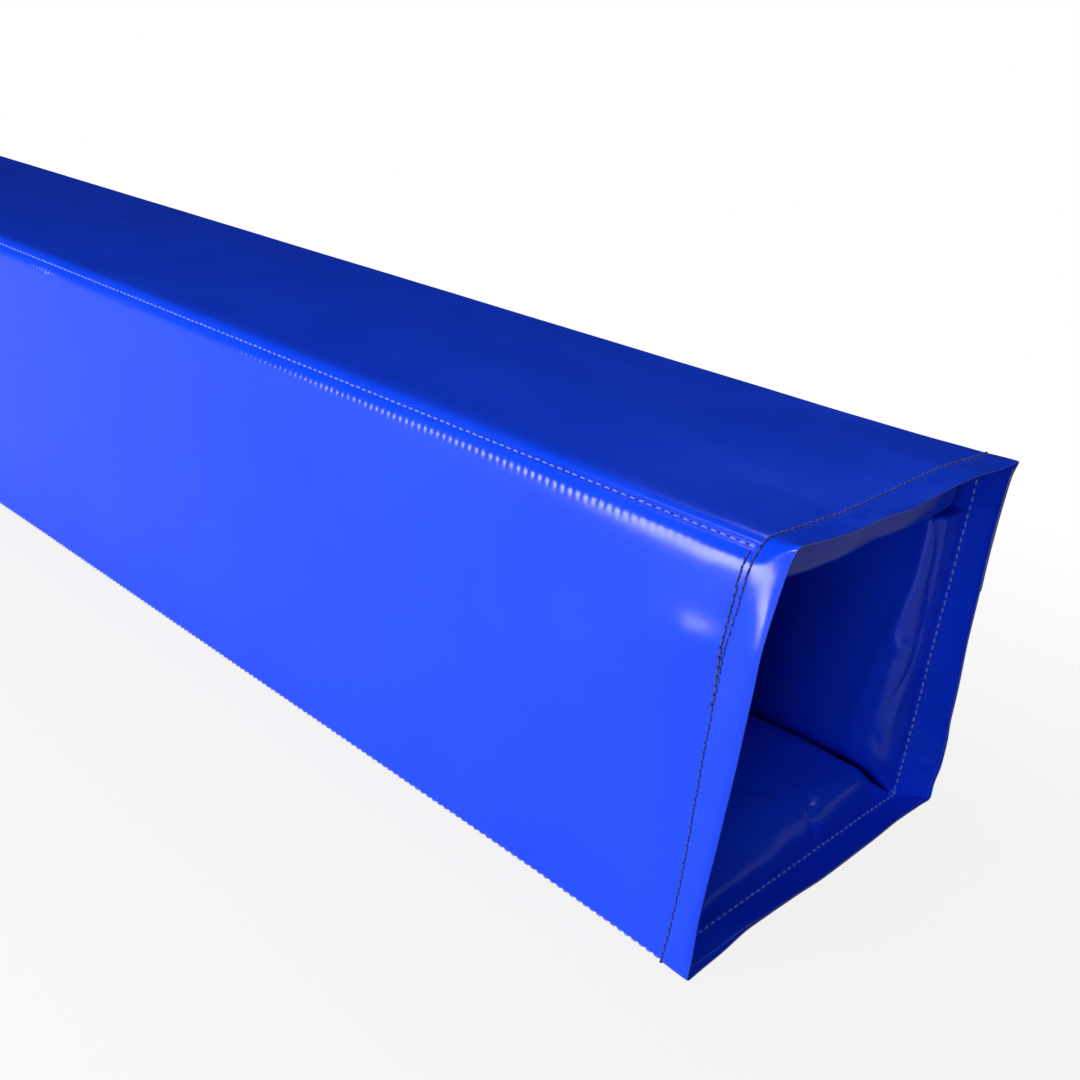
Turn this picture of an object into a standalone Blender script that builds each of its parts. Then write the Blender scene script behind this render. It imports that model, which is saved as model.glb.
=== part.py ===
"""Pole pad: four foam slabs in a vinyl cover that folds round a square post, in metres, +Z up.

The closed pad lies on its bottom panel with its long axis along X. The cover is folded at three
long corners. At the fourth, between the top and the back, it opens: a flap carries on from the
top panel, hangs over the outside of the back panel and holds there by hook and loop strips.

Every panel is modelled lying flat, with u across the panel along Y and v up from its outer face
along Z, and is then stood in its place round the post.
"""

import math
from dataclasses import dataclass

import bmesh
import bpy
from mathutils import Matrix, Vector

# Overall size of the closed pad
LENGTH = 1.8
SIDE = 0.22
CORNER_RADIUS = 0.012

# Sheets and padding
COVER_THICKNESS = 0.0006
LINER_THICKNESS = 0.0006
FOAM_THICKNESS = 0.03
FOAM_CROWN = 0.002
BEARING_WIDTH = 0.09
PAD_EDGE_RADIUS = 0.008

# Sewn ends: the hem is the doubled sheet past the end of the padding
HEM_WIDTH = 0.024
STITCH_OFFSET = 0.0035
PINCH_DEPTH = 0.0006
PINCH_WIDTH = 0.004

# Closing corner
TOP_PAD_SETBACK = 0.02
PAD_CLEARANCE = 0.0012
FLAP_DROP = 0.078
FLAP_HEM = 0.008
FLAP_HEM_RADIUS = 0.0011
STRIP_WIDTH = 0.038
STRIP_MARGIN = 0.003
STRIP_END_MARGIN = 0.026
HOOK_THICKNESS = 0.0012
LOOP_THICKNESS = 0.0012
STRIP_BEVEL = 0.0004

# Room left between pieces that touch, and between panels at a fold
GAP = 0.0003
FOLD_GAP = 0.0004

# Facets of the rounded edges
ARC_STEPS = 4
ROUND_STEPS = 3

# Worked out from the sizes above
SHEET_INSET = COVER_THICKNESS + GAP
PANEL_THICKNESS = SHEET_INSET + FOAM_THICKNESS + GAP + LINER_THICKNESS
PAD_DEPTH = PANEL_THICKNESS - LINER_THICKNESS - FOAM_CROWN
FLAP_STACK = GAP + LOOP_THICKNESS + GAP + HOOK_THICKNESS + GAP + COVER_THICKNESS
FLAP_REACH = SIDE / 2 + FLAP_STACK
FOLD_DEPTH = CORNER_RADIUS * (1 - math.cos(math.radians(45)))
LINER_SHY = FOLD_GAP / 2 + LINER_THICKNESS
FOAM_SHY = LINER_SHY + GAP
FOAM_END = LENGTH / 2 - HEM_WIDTH
STITCH_LINE = FOAM_END + STITCH_OFFSET
STRIP_HEIGHT = SIDE - FLAP_DROP + FLAP_HEM + STRIP_MARGIN + STRIP_WIDTH / 2

BLUE = (0.022, 0.105, 0.78, 1.0)
LINER_BLUE = (0.016, 0.075, 0.6, 1.0)
FOAM_GREY = (0.16, 0.17, 0.18, 1.0)
TAPE_BLUE = (0.012, 0.03, 0.2, 1.0)


@dataclass(frozen=True)
class LongEdge:
    """One long edge of a panel, measured from the panel's centre line.

    A mitred edge meets its neighbour at a sewn fold. A square edge has its padding cut off at
    pad_end and its two sheets sewn into a lip that ends at lip_end.
    """

    reach: float
    folded: bool = True
    pad_end: float = 0.0
    lip_end: float = 0.0

    @property
    def square(self):
        return self.pad_end > 0


@dataclass(frozen=True)
class Panel:
    """A panel's name, its two long edges, and the turn about X and centre that put it in place."""

    name: str
    low: LongEdge
    high: LongEdge
    turn: float
    centre: tuple


MITRED = LongEdge(SIDE / 2)
BACK_TOP = LongEdge(
    SIDE / 2,
    folded=False,
    pad_end=SIDE / 2 - PANEL_THICKNESS - PAD_CLEARANCE,
    lip_end=SIDE / 2 - CORNER_RADIUS,
)
TOP_BACK = LongEdge(
    FLAP_REACH,
    pad_end=SIDE / 2 - TOP_PAD_SETBACK,
    lip_end=FLAP_REACH - CORNER_RADIUS - GAP,
)

# Going round the post, each panel's high edge meets the next one's low edge
BOTTOM = Panel("bottom", MITRED, MITRED, 0, (0, 0, 0))
BACK = Panel("back", MITRED, BACK_TOP, 90, (0, SIDE / 2, SIDE / 2))
TOP = Panel("top", TOP_BACK, MITRED, 180, (0, 0, SIDE))
FRONT = Panel("front", MITRED, MITRED, -90, (0, -SIDE / 2, SIDE / 2))


def spaced(first, last, count):
    """Evenly spaced values from first to last, both included."""
    return [first + (last - first) * i / (count - 1) for i in range(count)]


def corner_arc(reach, inset, end_gap):
    """Points from a panel's flat face round to its fold, inset below the outer face.

    The arc is half of the rounded corner and stops end_gap short of the fold's plane.
    """
    radius = CORNER_RADIUS - inset
    last = math.radians(45) - math.asin(end_gap / radius)
    centre = Vector((reach - CORNER_RADIUS, CORNER_RADIUS))
    angles = spaced(0, last, ARC_STEPS + 1)
    return [centre + radius * Vector((math.sin(a), -math.cos(a))) for a in angles]


def rounded(before, corner, after, radius):
    """Points of an arc that rounds one corner of a path, held within the path's two legs."""
    back, on = (before - corner), (after - corner)
    half = back.angle(on) / 2
    reach = min(radius / math.tan(half), 0.95 * back.length, 0.95 * on.length)
    radius = reach * math.tan(half)
    bisector = (back.normalized() + on.normalized()).normalized()
    centre = corner + bisector * (radius / math.sin(half))
    first = corner + back.normalized() * reach - centre
    last = corner + on.normalized() * reach - centre
    # angle_signed counts clockwise turns as positive, and a 2D rotation matrix the other way
    sweep = -first.angle_signed(last)
    return [centre + Matrix.Rotation(a, 2) @ first for a in spaced(0, sweep, ARC_STEPS)]


def pocket_half(edge, depth, shy):
    """Half of a full pocket's section, from the flat bearing strip out to the edge's sewn line."""
    bearing = Vector((BEARING_WIDTH / 2, depth + FOAM_CROWN))
    if edge.square:
        end = edge.pad_end - shy + FOLD_GAP / 2
        foot = Vector((end, SHEET_INSET))
        return [bearing] + rounded(bearing, Vector((end, depth)), foot, PAD_EDGE_RADIUS) + [foot]
    seam = corner_arc(edge.reach, SHEET_INSET, shy)[-1]
    shoulder = Vector((edge.reach - depth - shy * math.sqrt(2), depth))
    return [bearing] + rounded(bearing, shoulder, seam, PAD_EDGE_RADIUS) + [seam]


def flat_half(edge, shy):
    """Half of the sheet's section where it lies flat against the cover, point for point."""
    bearing = Vector((BEARING_WIDTH / 2, SHEET_INSET))
    if not edge.square:
        return [bearing] + corner_arc(edge.reach, SHEET_INSET, shy)
    end = edge.pad_end - shy + FOLD_GAP / 2
    laid = spaced(end - PAD_EDGE_RADIUS, end, ARC_STEPS + 1)
    return [bearing] + [Vector((u, SHEET_INSET)) for u in laid]


def pad_half(edge, depth, shy, fullness):
    """Half of a section between flat, at fullness 0, and full, at 1."""
    pairs = zip(flat_half(edge, shy), pocket_half(edge, depth, shy))
    return [flat.lerp(full, fullness) for flat, full in pairs]


def across(low, high):
    """A whole path from a half for the low edge, mirrored, and a half for the high edge."""
    return [Vector((-p.x, p.y)) for p in reversed(low)] + high


def pinched(half, edge, pinch):
    """A half with its flat stretch drawn in by the hem's stitching, fading out towards a fold."""
    flat = edge.reach - CORNER_RADIUS
    drawn = []
    for p in half:
        fade = (flat - p.x) / (flat - BEARING_WIDTH / 2) if edge.folded else 1
        drawn.append(p + Vector((0, PINCH_DEPTH * pinch * min(max(fade, 0), 1))))
    return drawn


def liner_path(panel, fullness, pinch):
    """The liner's foam side, from the low edge across to the high edge."""
    halves = []
    for edge in (panel.low, panel.high):
        half = pad_half(edge, PAD_DEPTH, LINER_SHY, fullness)
        lip = [Vector((edge.lip_end, SHEET_INSET))] if edge.square else []
        halves.append(pinched(half + lip, edge, pinch))
    return across(*halves)


def foam_ring(panel, fullness):
    """The foam's closed outline: its outer face under the cover, then its inner face back."""
    outer, inner = [], []
    for edge in (panel.low, panel.high):
        half = pad_half(edge, PAD_DEPTH - GAP, FOAM_SHY, fullness)
        inner.append(half[:-1])
        outer.append([half[-1]] if edge.square else corner_arc(edge.reach, SHEET_INSET, FOAM_SHY))
    return across(*outer) + across(*inner)[::-1]


def cover_path(panel, pinch):
    """The cover's outer face, from the low edge across to the high edge."""
    halves = []
    for edge in (panel.low, panel.high):
        straight = [Vector((edge.lip_end, 0))]
        end = corner_arc(edge.reach, 0, FOLD_GAP / 2) if edge.folded else straight
        halves.append(pinched([Vector((BEARING_WIDTH / 2, 0))] + end, edge, pinch))
    return across(*halves)


def flap_path():
    """The flap's outer face in the top panel's frame: round the corner, down, and turned in."""
    radius = CORNER_RADIUS
    first = math.radians(45) + math.asin(FOLD_GAP / 2 / radius)
    centre = Vector((-FLAP_REACH + radius, radius))
    bend = [
        centre - radius * Vector((math.sin(a), math.cos(a)))
        for a in spaced(first, math.radians(90), ARC_STEPS + 1)
    ]
    turn_centre = Vector((-FLAP_REACH + FLAP_HEM_RADIUS, FLAP_DROP - FLAP_HEM_RADIUS))
    turn = [
        turn_centre + FLAP_HEM_RADIUS * Vector((-math.cos(a), math.sin(a)))
        for a in spaced(0, math.pi, ARC_STEPS + 1)
    ]
    hem_top = Vector((turn[-1].x, FLAP_DROP - FLAP_HEM))
    return bend + turn + [hem_top]


def end_rounding(edge_radius, wall):
    """(x, fullness) of the sections at the padding's far end, from its end wall inwards."""
    depth = PAD_DEPTH - SHEET_INSET
    stations = []
    for angle in spaced(0, math.radians(90), ROUND_STEPS + 1):
        x = wall - edge_radius * (1 - math.cos(angle))
        stations.append((x, 1 - edge_radius / depth * (1 - math.sin(angle))))
    return stations


def hem_stations():
    """(x, pinch) along the hem, from its edge in over the line of stitches."""
    side = PINCH_WIDTH / 2
    return [(LENGTH / 2, 0), (STITCH_LINE + side, 0), (STITCH_LINE, 1), (STITCH_LINE - side, 0)]


def both_ends(stations):
    """Stations listed for the +X end, repeated mirrored for the other, from -X to +X."""
    return [(-x, *rest) for x, *rest in stations] + stations[::-1]


def clear_scene():
    """Removes what the startup scene holds."""
    for obj in list(bpy.data.objects):
        bpy.data.objects.remove(obj)


def new_collection(name):
    """A collection linked under the scene's own."""
    collection = bpy.data.collections.new(name)
    bpy.context.scene.collection.children.link(collection)
    return collection


def material(name, colour, roughness, coat=0.0):
    """A plain Principled material."""
    made = bpy.data.materials.new(name)
    made.use_nodes = True
    shader = made.node_tree.nodes["Principled BSDF"]
    shader.inputs["Base Color"].default_value = colour
    shader.inputs["Roughness"].default_value = roughness
    shader.inputs["Metallic"].default_value = 0.0
    shader.inputs["Coat Weight"].default_value = coat
    return made


def make_object(name, mesh_maker, finish):
    """A mesh object filled in by mesh_maker, a function of an empty bmesh."""
    shape = bmesh.new()
    mesh_maker(shape)
    mesh = bpy.data.meshes.new(name)
    shape.to_mesh(mesh)
    shape.free()
    mesh.materials.append(finish)
    mesh.shade_smooth()
    mesh.set_sharp_from_angle(angle=math.radians(35))
    obj = bpy.data.objects.new(name, mesh)
    bpy.data.collections["pole_pad"].objects.link(obj)
    return obj


def solidify(obj, thickness):
    """Gives an open sheet its thickness, on the side its normals point to."""
    wall = obj.modifiers.new("sheet", "SOLIDIFY")
    wall.thickness = thickness
    wall.offset = 1
    wall.use_even_offset = True
    return obj


def closure_flap(finish):
    """The flap, one section along the whole length, from the path of its outer face inwards."""

    def fill(shape):
        points = [shape.verts.new((-LENGTH / 2, p.x, p.y)) for p in flap_path()]
        edges = [shape.edges.new(pair) for pair in zip(points, points[1:])]
        swept = bmesh.ops.extrude_edge_only(shape, edges=edges)["geom"]
        moved = [v for v in swept if isinstance(v, bmesh.types.BMVert)]
        bmesh.ops.translate(shape, verts=moved, vec=(LENGTH, 0, 0))
        shape.normal_update()
        # The hanging stretch is the largest face, and its inner side looks along +Y
        hanging = max(shape.faces, key=lambda face: face.calc_area())
        if hanging.normal.y < 0:
            bmesh.ops.reverse_faces(shape, faces=shape.faces)

    return solidify(make_object("closure_flap", fill, finish), COVER_THICKNESS)


def loft(name, rings, closed, finish):
    """A skin over sections of equal point counts, with both ends capped where it is closed."""

    def fill(shape):
        rows = [[shape.verts.new((x, p.x, p.y)) for p in ring] for x, ring in rings]
        for row, after in zip(rows, rows[1:]):
            count = len(row) if closed else len(row) - 1
            for i in range(count):
                j = (i + 1) % len(row)
                shape.faces.new((row[i], after[i], after[j], row[j]))
        if closed:
            shape.faces.new(rows[0])
            shape.faces.new(rows[-1])
            bmesh.ops.recalc_face_normals(shape, faces=shape.faces)

    return make_object(name, fill, finish)


def foam_slab(panel, finish):
    """The mitred or square-cut slab, its inner edges pressed round by the liner."""
    stations = both_ends(end_rounding(PAD_EDGE_RADIUS, FOAM_END))
    rings = [(x, foam_ring(panel, full)) for x, full in stations]
    return loft(f"{panel.name}_foam_slab", rings, True, finish)


def inner_liner(panel, finish):
    """The tray that closes the pocket: hem, end wall, crowned inner face and mitred sides."""
    wall = FOAM_END + GAP
    hem = [(x, 0, pinch) for x, pinch in hem_stations() if x > wall]
    pocket = [(x, full, 0) for x, full in [(wall, 0)] + end_rounding(PAD_EDGE_RADIUS + GAP, wall)]
    rings = [(x, liner_path(panel, full, pinch)) for x, full, pinch in both_ends(hem + pocket)]
    liner = loft(f"{panel.name}_inner_liner", rings, False, finish)
    return solidify(liner, LINER_THICKNESS)


def outer_skin(panel, finish):
    """The panel's stretch of the cover, drawn in along the hem's stitching."""
    rings = [(x, cover_path(panel, pinch)) for x, pinch in both_ends(hem_stations())]
    skin = loft(f"{panel.name}_outer_skin", rings, False, finish)
    return solidify(skin, COVER_THICKNESS)


def strip(name, centre, section, finish):
    """A flat length of hook or loop tape of the given section, across Y and up Z."""
    size = Vector((LENGTH - 2 * STRIP_END_MARGIN, *section))

    def fill(shape):
        bmesh.ops.create_cube(shape, size=1)
        bmesh.ops.scale(shape, vec=size, verts=shape.verts)
        bmesh.ops.translate(shape, vec=(0, *centre), verts=shape.verts)

    tape = make_object(name, fill, finish)
    edge = tape.modifiers.new("cut edge", "BEVEL")
    edge.width = STRIP_BEVEL
    edge.segments = 1
    return tape


def joint_axis(name, y, z, parent=None):
    """An empty on a fold's axis, which carries the panel that turns there."""
    axis = bpy.data.objects.new(name, None)
    axis.empty_display_size = SIDE / 4
    bpy.data.collections["pole_pad"].objects.link(axis)
    place = Vector((0, y, z))
    if parent:
        axis.parent = parent
        place -= Vector((0, *parent["axis"]))
    axis["axis"] = (y, z)
    axis.location = place
    return axis


def stand(obj, panel, axis=None):
    """Stands a flat-modelled piece in its panel's place, carried by the fold's axis."""
    place = Vector(panel.centre)
    if axis:
        obj.parent = axis
        place -= Vector((0, *axis["axis"]))
    obj.location = place
    obj.rotation_euler = (math.radians(panel.turn), 0, 0)


def build_panel(panel, finishes, axis=None):
    """One panel: its stretch of the cover, its foam and its liner."""
    pieces = [
        outer_skin(panel, finishes["cover"]),
        foam_slab(panel, finishes["foam"]),
        inner_liner(panel, finishes["liner"]),
    ]
    for piece in pieces:
        stand(piece, panel, axis)


def build_closure(finishes, back_axis, flap_axis):
    """The flap with its hook strip, and the loop strip sewn to the back panel."""
    hook_y = SIDE / 2 + GAP + LOOP_THICKNESS + GAP + HOOK_THICKNESS / 2
    hook_place = (-hook_y, SIDE - STRIP_HEIGHT)
    hook_section = (HOOK_THICKNESS, STRIP_WIDTH)
    hook = strip("flap_hook_strip", hook_place, hook_section, finishes["tape"])
    for piece in (closure_flap(finishes["cover"]), hook):
        stand(piece, TOP, flap_axis)
    loop_place = (STRIP_HEIGHT - SIDE / 2, -GAP - LOOP_THICKNESS / 2)
    loop_section = (STRIP_WIDTH, LOOP_THICKNESS)
    loop = strip("back_loop_strip", loop_place, loop_section, finishes["tape"])
    stand(loop, BACK, back_axis)


def main():
    """Builds the pad closed, with each panel carried by the axis that it folds about."""
    clear_scene()
    new_collection("pole_pad")
    finishes = {
        "cover": material("gloss_vinyl", BLUE, 0.28, coat=0.4),
        "liner": material("liner_vinyl", LINER_BLUE, 0.3, coat=0.4),
        "foam": material("foam", FOAM_GREY, 0.9),
        "tape": material("hook_and_loop_tape", TAPE_BLUE, 0.85),
    }
    near = SIDE / 2 - FOLD_DEPTH
    front_axis = joint_axis("front_fold_axis", -near, FOLD_DEPTH)
    top_axis = joint_axis("top_fold_axis", -near, SIDE - FOLD_DEPTH, front_axis)
    back_axis = joint_axis("back_fold_axis", near, FOLD_DEPTH)
    flap_axis = joint_axis("flap_axis", FLAP_REACH - FOLD_DEPTH, SIDE - FOLD_DEPTH, top_axis)
    build_panel(BOTTOM, finishes)
    build_panel(FRONT, finishes, front_axis)
    build_panel(TOP, finishes, top_axis)
    build_panel(BACK, finishes, back_axis)
    build_closure(finishes, back_axis, flap_axis)


main()
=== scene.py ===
"""Looks of the pole pad: four foam panels in one glossy vinyl cover that folds round a square post.

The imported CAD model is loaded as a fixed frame. Every soft solid in it is replaced by cover, liner,
foam, flap, tape and stitches, all in metres in the frame's own coordinates. The pad lies along X
with its near end at +X, its front at -Y and its bottom on the floor.

The cover is one surface over (x, s). s runs round the outside of the section, starting in the
middle of the top and going over the front, the bottom and the back; the flap has negative s.
"""

import logging
import math
from dataclasses import dataclass
from enum import Enum

import bpy
import numpy as np
from mathutils import Matrix, Vector


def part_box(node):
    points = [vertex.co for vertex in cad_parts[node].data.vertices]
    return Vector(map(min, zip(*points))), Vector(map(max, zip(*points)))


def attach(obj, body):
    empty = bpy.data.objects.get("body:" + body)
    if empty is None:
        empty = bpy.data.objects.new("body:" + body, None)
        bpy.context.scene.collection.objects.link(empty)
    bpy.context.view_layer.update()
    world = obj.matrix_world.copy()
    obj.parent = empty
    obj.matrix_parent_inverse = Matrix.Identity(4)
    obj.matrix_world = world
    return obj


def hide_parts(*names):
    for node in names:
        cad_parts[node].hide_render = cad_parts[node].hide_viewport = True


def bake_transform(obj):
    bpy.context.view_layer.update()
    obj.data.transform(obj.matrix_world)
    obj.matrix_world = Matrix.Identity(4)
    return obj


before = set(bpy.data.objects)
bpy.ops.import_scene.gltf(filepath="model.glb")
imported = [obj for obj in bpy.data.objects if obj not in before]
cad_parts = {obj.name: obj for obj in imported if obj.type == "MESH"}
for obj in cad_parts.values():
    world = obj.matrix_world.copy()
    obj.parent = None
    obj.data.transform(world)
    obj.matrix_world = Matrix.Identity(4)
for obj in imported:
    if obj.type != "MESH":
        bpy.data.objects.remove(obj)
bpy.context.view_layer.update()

log = logging.getLogger("pole_pad")

Piece = bpy.types.Object
Material = bpy.types.Material
Socket = bpy.types.NodeSocket

MM = 0.001
HALF_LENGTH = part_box("bottom_outer_skin")[1].x
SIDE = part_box("top_outer_skin")[1].z
HALF = SIDE / 2


def eased(t: np.ndarray) -> np.ndarray:
    """Smooth step from 0 to 1 as t goes from 0 to 1."""
    t = np.clip(t, 0, 1)
    return t * t * (3 - 2 * t)


def bump(distance: np.ndarray, width: float) -> np.ndarray:
    """A bell that is 1 at no distance and fades out over the given width."""
    return np.exp(-((distance / width) ** 2))


def runs(*parts: tuple[float, float, float]) -> np.ndarray:
    """Stations along a line.

    Args:
        parts: Runs that follow each other, as start, end and the step to keep near.

    Returns:
        All stations in order, each one once.
    """
    found = [
        np.linspace(a, b, max(1, round(abs(b - a) / step)), endpoint=False) for a, b, step in parts
    ]
    return np.append(np.concatenate(found), parts[-1][1])


def soft_field(x: np.ndarray, s: np.ndarray, wave: float, seed: int) -> np.ndarray:
    """Smooth chance unevenness over a surface, about -1 to 1.

    Args:
        x: Places along the pad.
        s: Places round it.
        wave: Typical length of a swell, in metres.
        seed: Picks the pattern; the same seed always gives the same one.

    Returns:
        One value for each place.
    """
    chance = np.random.default_rng(seed)
    total = 0.0
    count = 10
    for _ in range(count):
        turn, phase = chance.uniform(0, math.tau, 2)
        pitch = math.tau / (wave * chance.uniform(0.6, 1.6))
        total = total + np.sin(pitch * (x * math.cos(turn) + s * math.sin(turn)) + phase)
    return total / math.sqrt(count * 1.2)


class Face(Enum):
    """The four panels, by name, in the order that s passes them."""

    TOP = 0
    FRONT = 1
    BOTTOM = 2
    BACK = 3

    @property
    def body(self) -> str:
        """The CAD body that carries the panel."""
        return f"{self.name.lower()}_panel"

    @property
    def centre(self) -> float:
        """s in the middle of the panel."""
        return self.value * SIDE

    def place(self, u: np.ndarray, v: np.ndarray) -> tuple[np.ndarray, np.ndarray]:
        """Turns panel coordinates into the frame's Y and Z.

        Args:
            u: Across the panel, from its middle, growing with s.
            v: Depth inwards from the outer face.

        Returns:
            Y and Z.
        """
        return {
            Face.TOP: (-u, SIDE - v),
            Face.FRONT: (v - HALF, HALF - u),
            Face.BOTTOM: (u, v),
            Face.BACK: (HALF - v, HALF + u),
        }[self]

    def local(self, y: np.ndarray, z: np.ndarray) -> tuple[np.ndarray, np.ndarray]:
        """Turns the frame's Y and Z into panel coordinates.

        Args:
            y: Across the pad, in the frame.
            z: Up, in the frame.

        Returns:
            u and v, as place() takes them.
        """
        return {
            Face.TOP: (-y, SIDE - z),
            Face.FRONT: (HALF - z, y + HALF),
            Face.BOTTOM: (y, z),
            Face.BACK: (z - HALF, HALF - y),
        }[self]

    def turn(self, u: np.ndarray, v: np.ndarray) -> tuple[np.ndarray, np.ndarray]:
        """Turns a direction in panel coordinates into the frame's Y and Z.

        Args:
            u: The direction's part across the panel.
            v: Its part inwards.

        Returns:
            Y and Z.
        """
        return {
            Face.TOP: (-u, -v),
            Face.FRONT: (v, -u),
            Face.BOTTOM: (u, v),
            Face.BACK: (-v, u),
        }[self]


@dataclass(frozen=True)
class SideCurve:
    """How one side of an open end strays from the straight line between its corners.

    Each curve is a row of (share of the way, millimetres), from front to back or from top to
    bottom. along is positive out of the pad's end, outward is positive away from the pad.
    """

    stitch_along: tuple = ((0, 0),)
    stitch_outward: tuple = ((0, 0),)
    hem_along: tuple = ((0, 0),)
    hem_outward: tuple = ((0, 0),)

    def value(self, curve: tuple, share: np.ndarray) -> np.ndarray:
        """A curve's rounded off value at each share of the way, in metres.

        Args:
            curve: One of the curves above.
            share: Shares of the way along the side.

        Returns:
            Moves in metres.
        """
        steps = np.linspace(0, 1, 121)
        listed = np.interp(steps, *np.array(curve, float).T)
        window = np.hanning(11)
        rounded = np.convolve(np.pad(listed, 5, "edge"), window / window.sum(), "valid")
        return np.interp(share, steps, rounded) * MM


@dataclass(frozen=True)
class EndLay:
    """How one open end lies: a soft end is never quite square.

    Each corner has a move in millimetres at the line of stitches and at the hem's edge, in the
    order top front, top back, bottom front, bottom back. Each side has a curve between them.
    """

    stitch: tuple = ((0, 0, 0),) * 4
    hem: tuple = ((0, 0, 0),) * 4
    top: SideCurve = SideCurve()
    front: SideCurve = SideCurve()
    bottom: SideCurve = SideCurve()
    back: SideCurve = SideCurve()
    reach: float = 0.1


NEAR_END = EndLay(
    stitch=((2.6, 0, 0), (3, 0, 0), (-4, -1.5, 0), (0, 2, 0)),
    hem=((2.6, 0, 3.6), (1, -2, 1.8), (-7.6, -2, 0), (0, 5, 8)),
    top=SideCurve(
        stitch_along=((0, 0), (0.12, 0.8), (0.3, 1.2), (0.5, 0.4), (0.75, -0.3), (1, 0)),
        stitch_outward=((0, 0), (0.12, -1.2), (0.3, -2.1), (0.5, -0.2), (0.75, 1.6), (1, 0.6)),
        hem_outward=(
            (0, -0.2), (0.1, -1.4), (0.24, -2.3), (0.34, -0.7), (0.44, -2), (0.55, -0.5),
            (0.65, 0.8), (0.8, 1.1), (0.93, 0), (1, 0),
        ),
    ),
    front=SideCurve(
        stitch_along=(
            (0, 0), (0.1, -0.6), (0.26, -2.2), (0.36, -3), (0.48, -2.2), (0.6, -0.5), (0.72, 0.9),
            (0.8, 1.4), (1, 1),
        ),
        stitch_outward=((0, -1), (0.05, -0.5), (0.1, 0.3), (0.16, 0.5), (0.3, 0), (1, 0)),
        hem_along=(
            (0, -1.1), (0.02, -3.1), (0.05, -4.4), (0.1, -4.4), (0.16, -3.7), (0.22, -2.8),
            (0.3, -2.8), (0.42, -3.2), (0.55, -3), (0.77, -2.7), (0.87, -2), (0.94, -0.7), (1, 0),
        ),
        hem_outward=(
            (0, -2.6), (0.05, -3.4), (0.1, -1.2), (0.16, 2.9), (0.22, 5.6), (0.3, 4.8), (0.42, 2.2),
            (0.55, 0.8), (0.8, 0.5), (1, 0),
        ),
    ),
    bottom=SideCurve(
        hem_outward=(
            (0, 0), (0.05, 0), (0.11, -0.8), (0.19, -4.6), (0.3, -4), (0.38, -2.8), (0.48, -0.4),
            (0.6, -0.5), (0.72, -1.2), (0.82, -2), (0.92, -0.7), (1, 0),
        ),
    ),
    back=SideCurve(
        hem_along=(
            (0, 0), (0.035, -0.8), (0.16, -1.4), (0.26, -1.4), (0.5, -0.9), (0.64, 0),
            (0.76, 0.2), (0.8, 0.8), (0.9, 0.9), (0.94, 0), (1, 0),
        ),
        hem_outward=(
            (0, 0), (0.035, -1.5), (0.16, -2.6), (0.26, -2.7), (0.37, -2.2), (0.5, -1.8),
            (0.64, 0), (0.76, 0.3), (0.8, 1.6), (0.9, 1.8), (0.94, 0), (1, 0),
        ),
    ),
)
FAR_END = EndLay(
    stitch=((1, 0, 0), (-1.5, 0, 0), (2, 0, 0), (-1, 1, 0)),
    hem=((-1, 1, 2), (2, 1, 3.4), (1, -1.5, 1.5), (-4, 3, 3)),
    top=SideCurve(
        stitch_outward=((0, 0), (0.3, -1), (0.7, -1.6), (1, 0)),
        hem_outward=((0, 0), (0.2, -0.6), (0.45, -2.8), (0.7, -1), (0.88, 0.6), (1, 0)),
    ),
    front=SideCurve(
        stitch_along=((0, 0), (0.4, -1), (0.8, -1.6), (1, 0)),
        hem_along=((0, 0), (0.1, -1.6), (0.4, -2.4), (0.75, -1), (1, 0)),
        hem_outward=((0, 0), (0.25, 1), (0.55, -1.4), (0.8, 0.5), (1, 0)),
    ),
    bottom=SideCurve(
        hem_along=((0, 0), (0.3, -1.2), (0.6, 0.4), (1, 0)),
        hem_outward=((0, 0), (0.15, -0.4), (0.4, -2.2), (0.7, -3), (0.9, -0.8), (1, 0)),
    ),
    back=SideCurve(
        hem_along=((0, 0), (0.2, -1), (0.5, -2), (0.8, -0.8), (1, 0)),
        hem_outward=((0, 0), (0.15, -1.2), (0.45, 0.8), (0.7, -1.2), (0.9, 0.8), (1, 0)),
    ),
)


@dataclass(frozen=True)
class Sizes:
    """Sizes of the visual model, in metres. Those that the CAD model has too are the same.

    The corner radii go over the padding in fold_corners and closure_corner, and tighten to
    hem_corner and closure_hem_corner at the hem's edge. Each rounded corner takes up corner_span
    on both sides of it. pad_depth is the depth of a pocket at its middle, less its crown.
    """

    sheet: float = 0.0006
    corner: float = 0.012
    fold_corners: tuple = (0.012, 0.0045, 0.008)
    closure_corner: float = 0.006
    hem_corner: float = 0.003
    closure_hem_corner: float = 0.0022
    corner_span: float = 0.022
    hem: float = 0.0205
    stitch_line: float = HALF_LENGTH - hem
    stitch_pitch: float = 0.0048
    fold_row_start: float = 0.0235 - HALF_LENGTH
    groove_width: float = 0.0018
    crown: float = 0.002
    crown_reach: float = 0.08
    pad_depth: float = 0.0292
    flap_reach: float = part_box("closure_flap")[1].y
    flap_drop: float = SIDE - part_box("closure_flap")[0].z


SIZES = Sizes()


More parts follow.
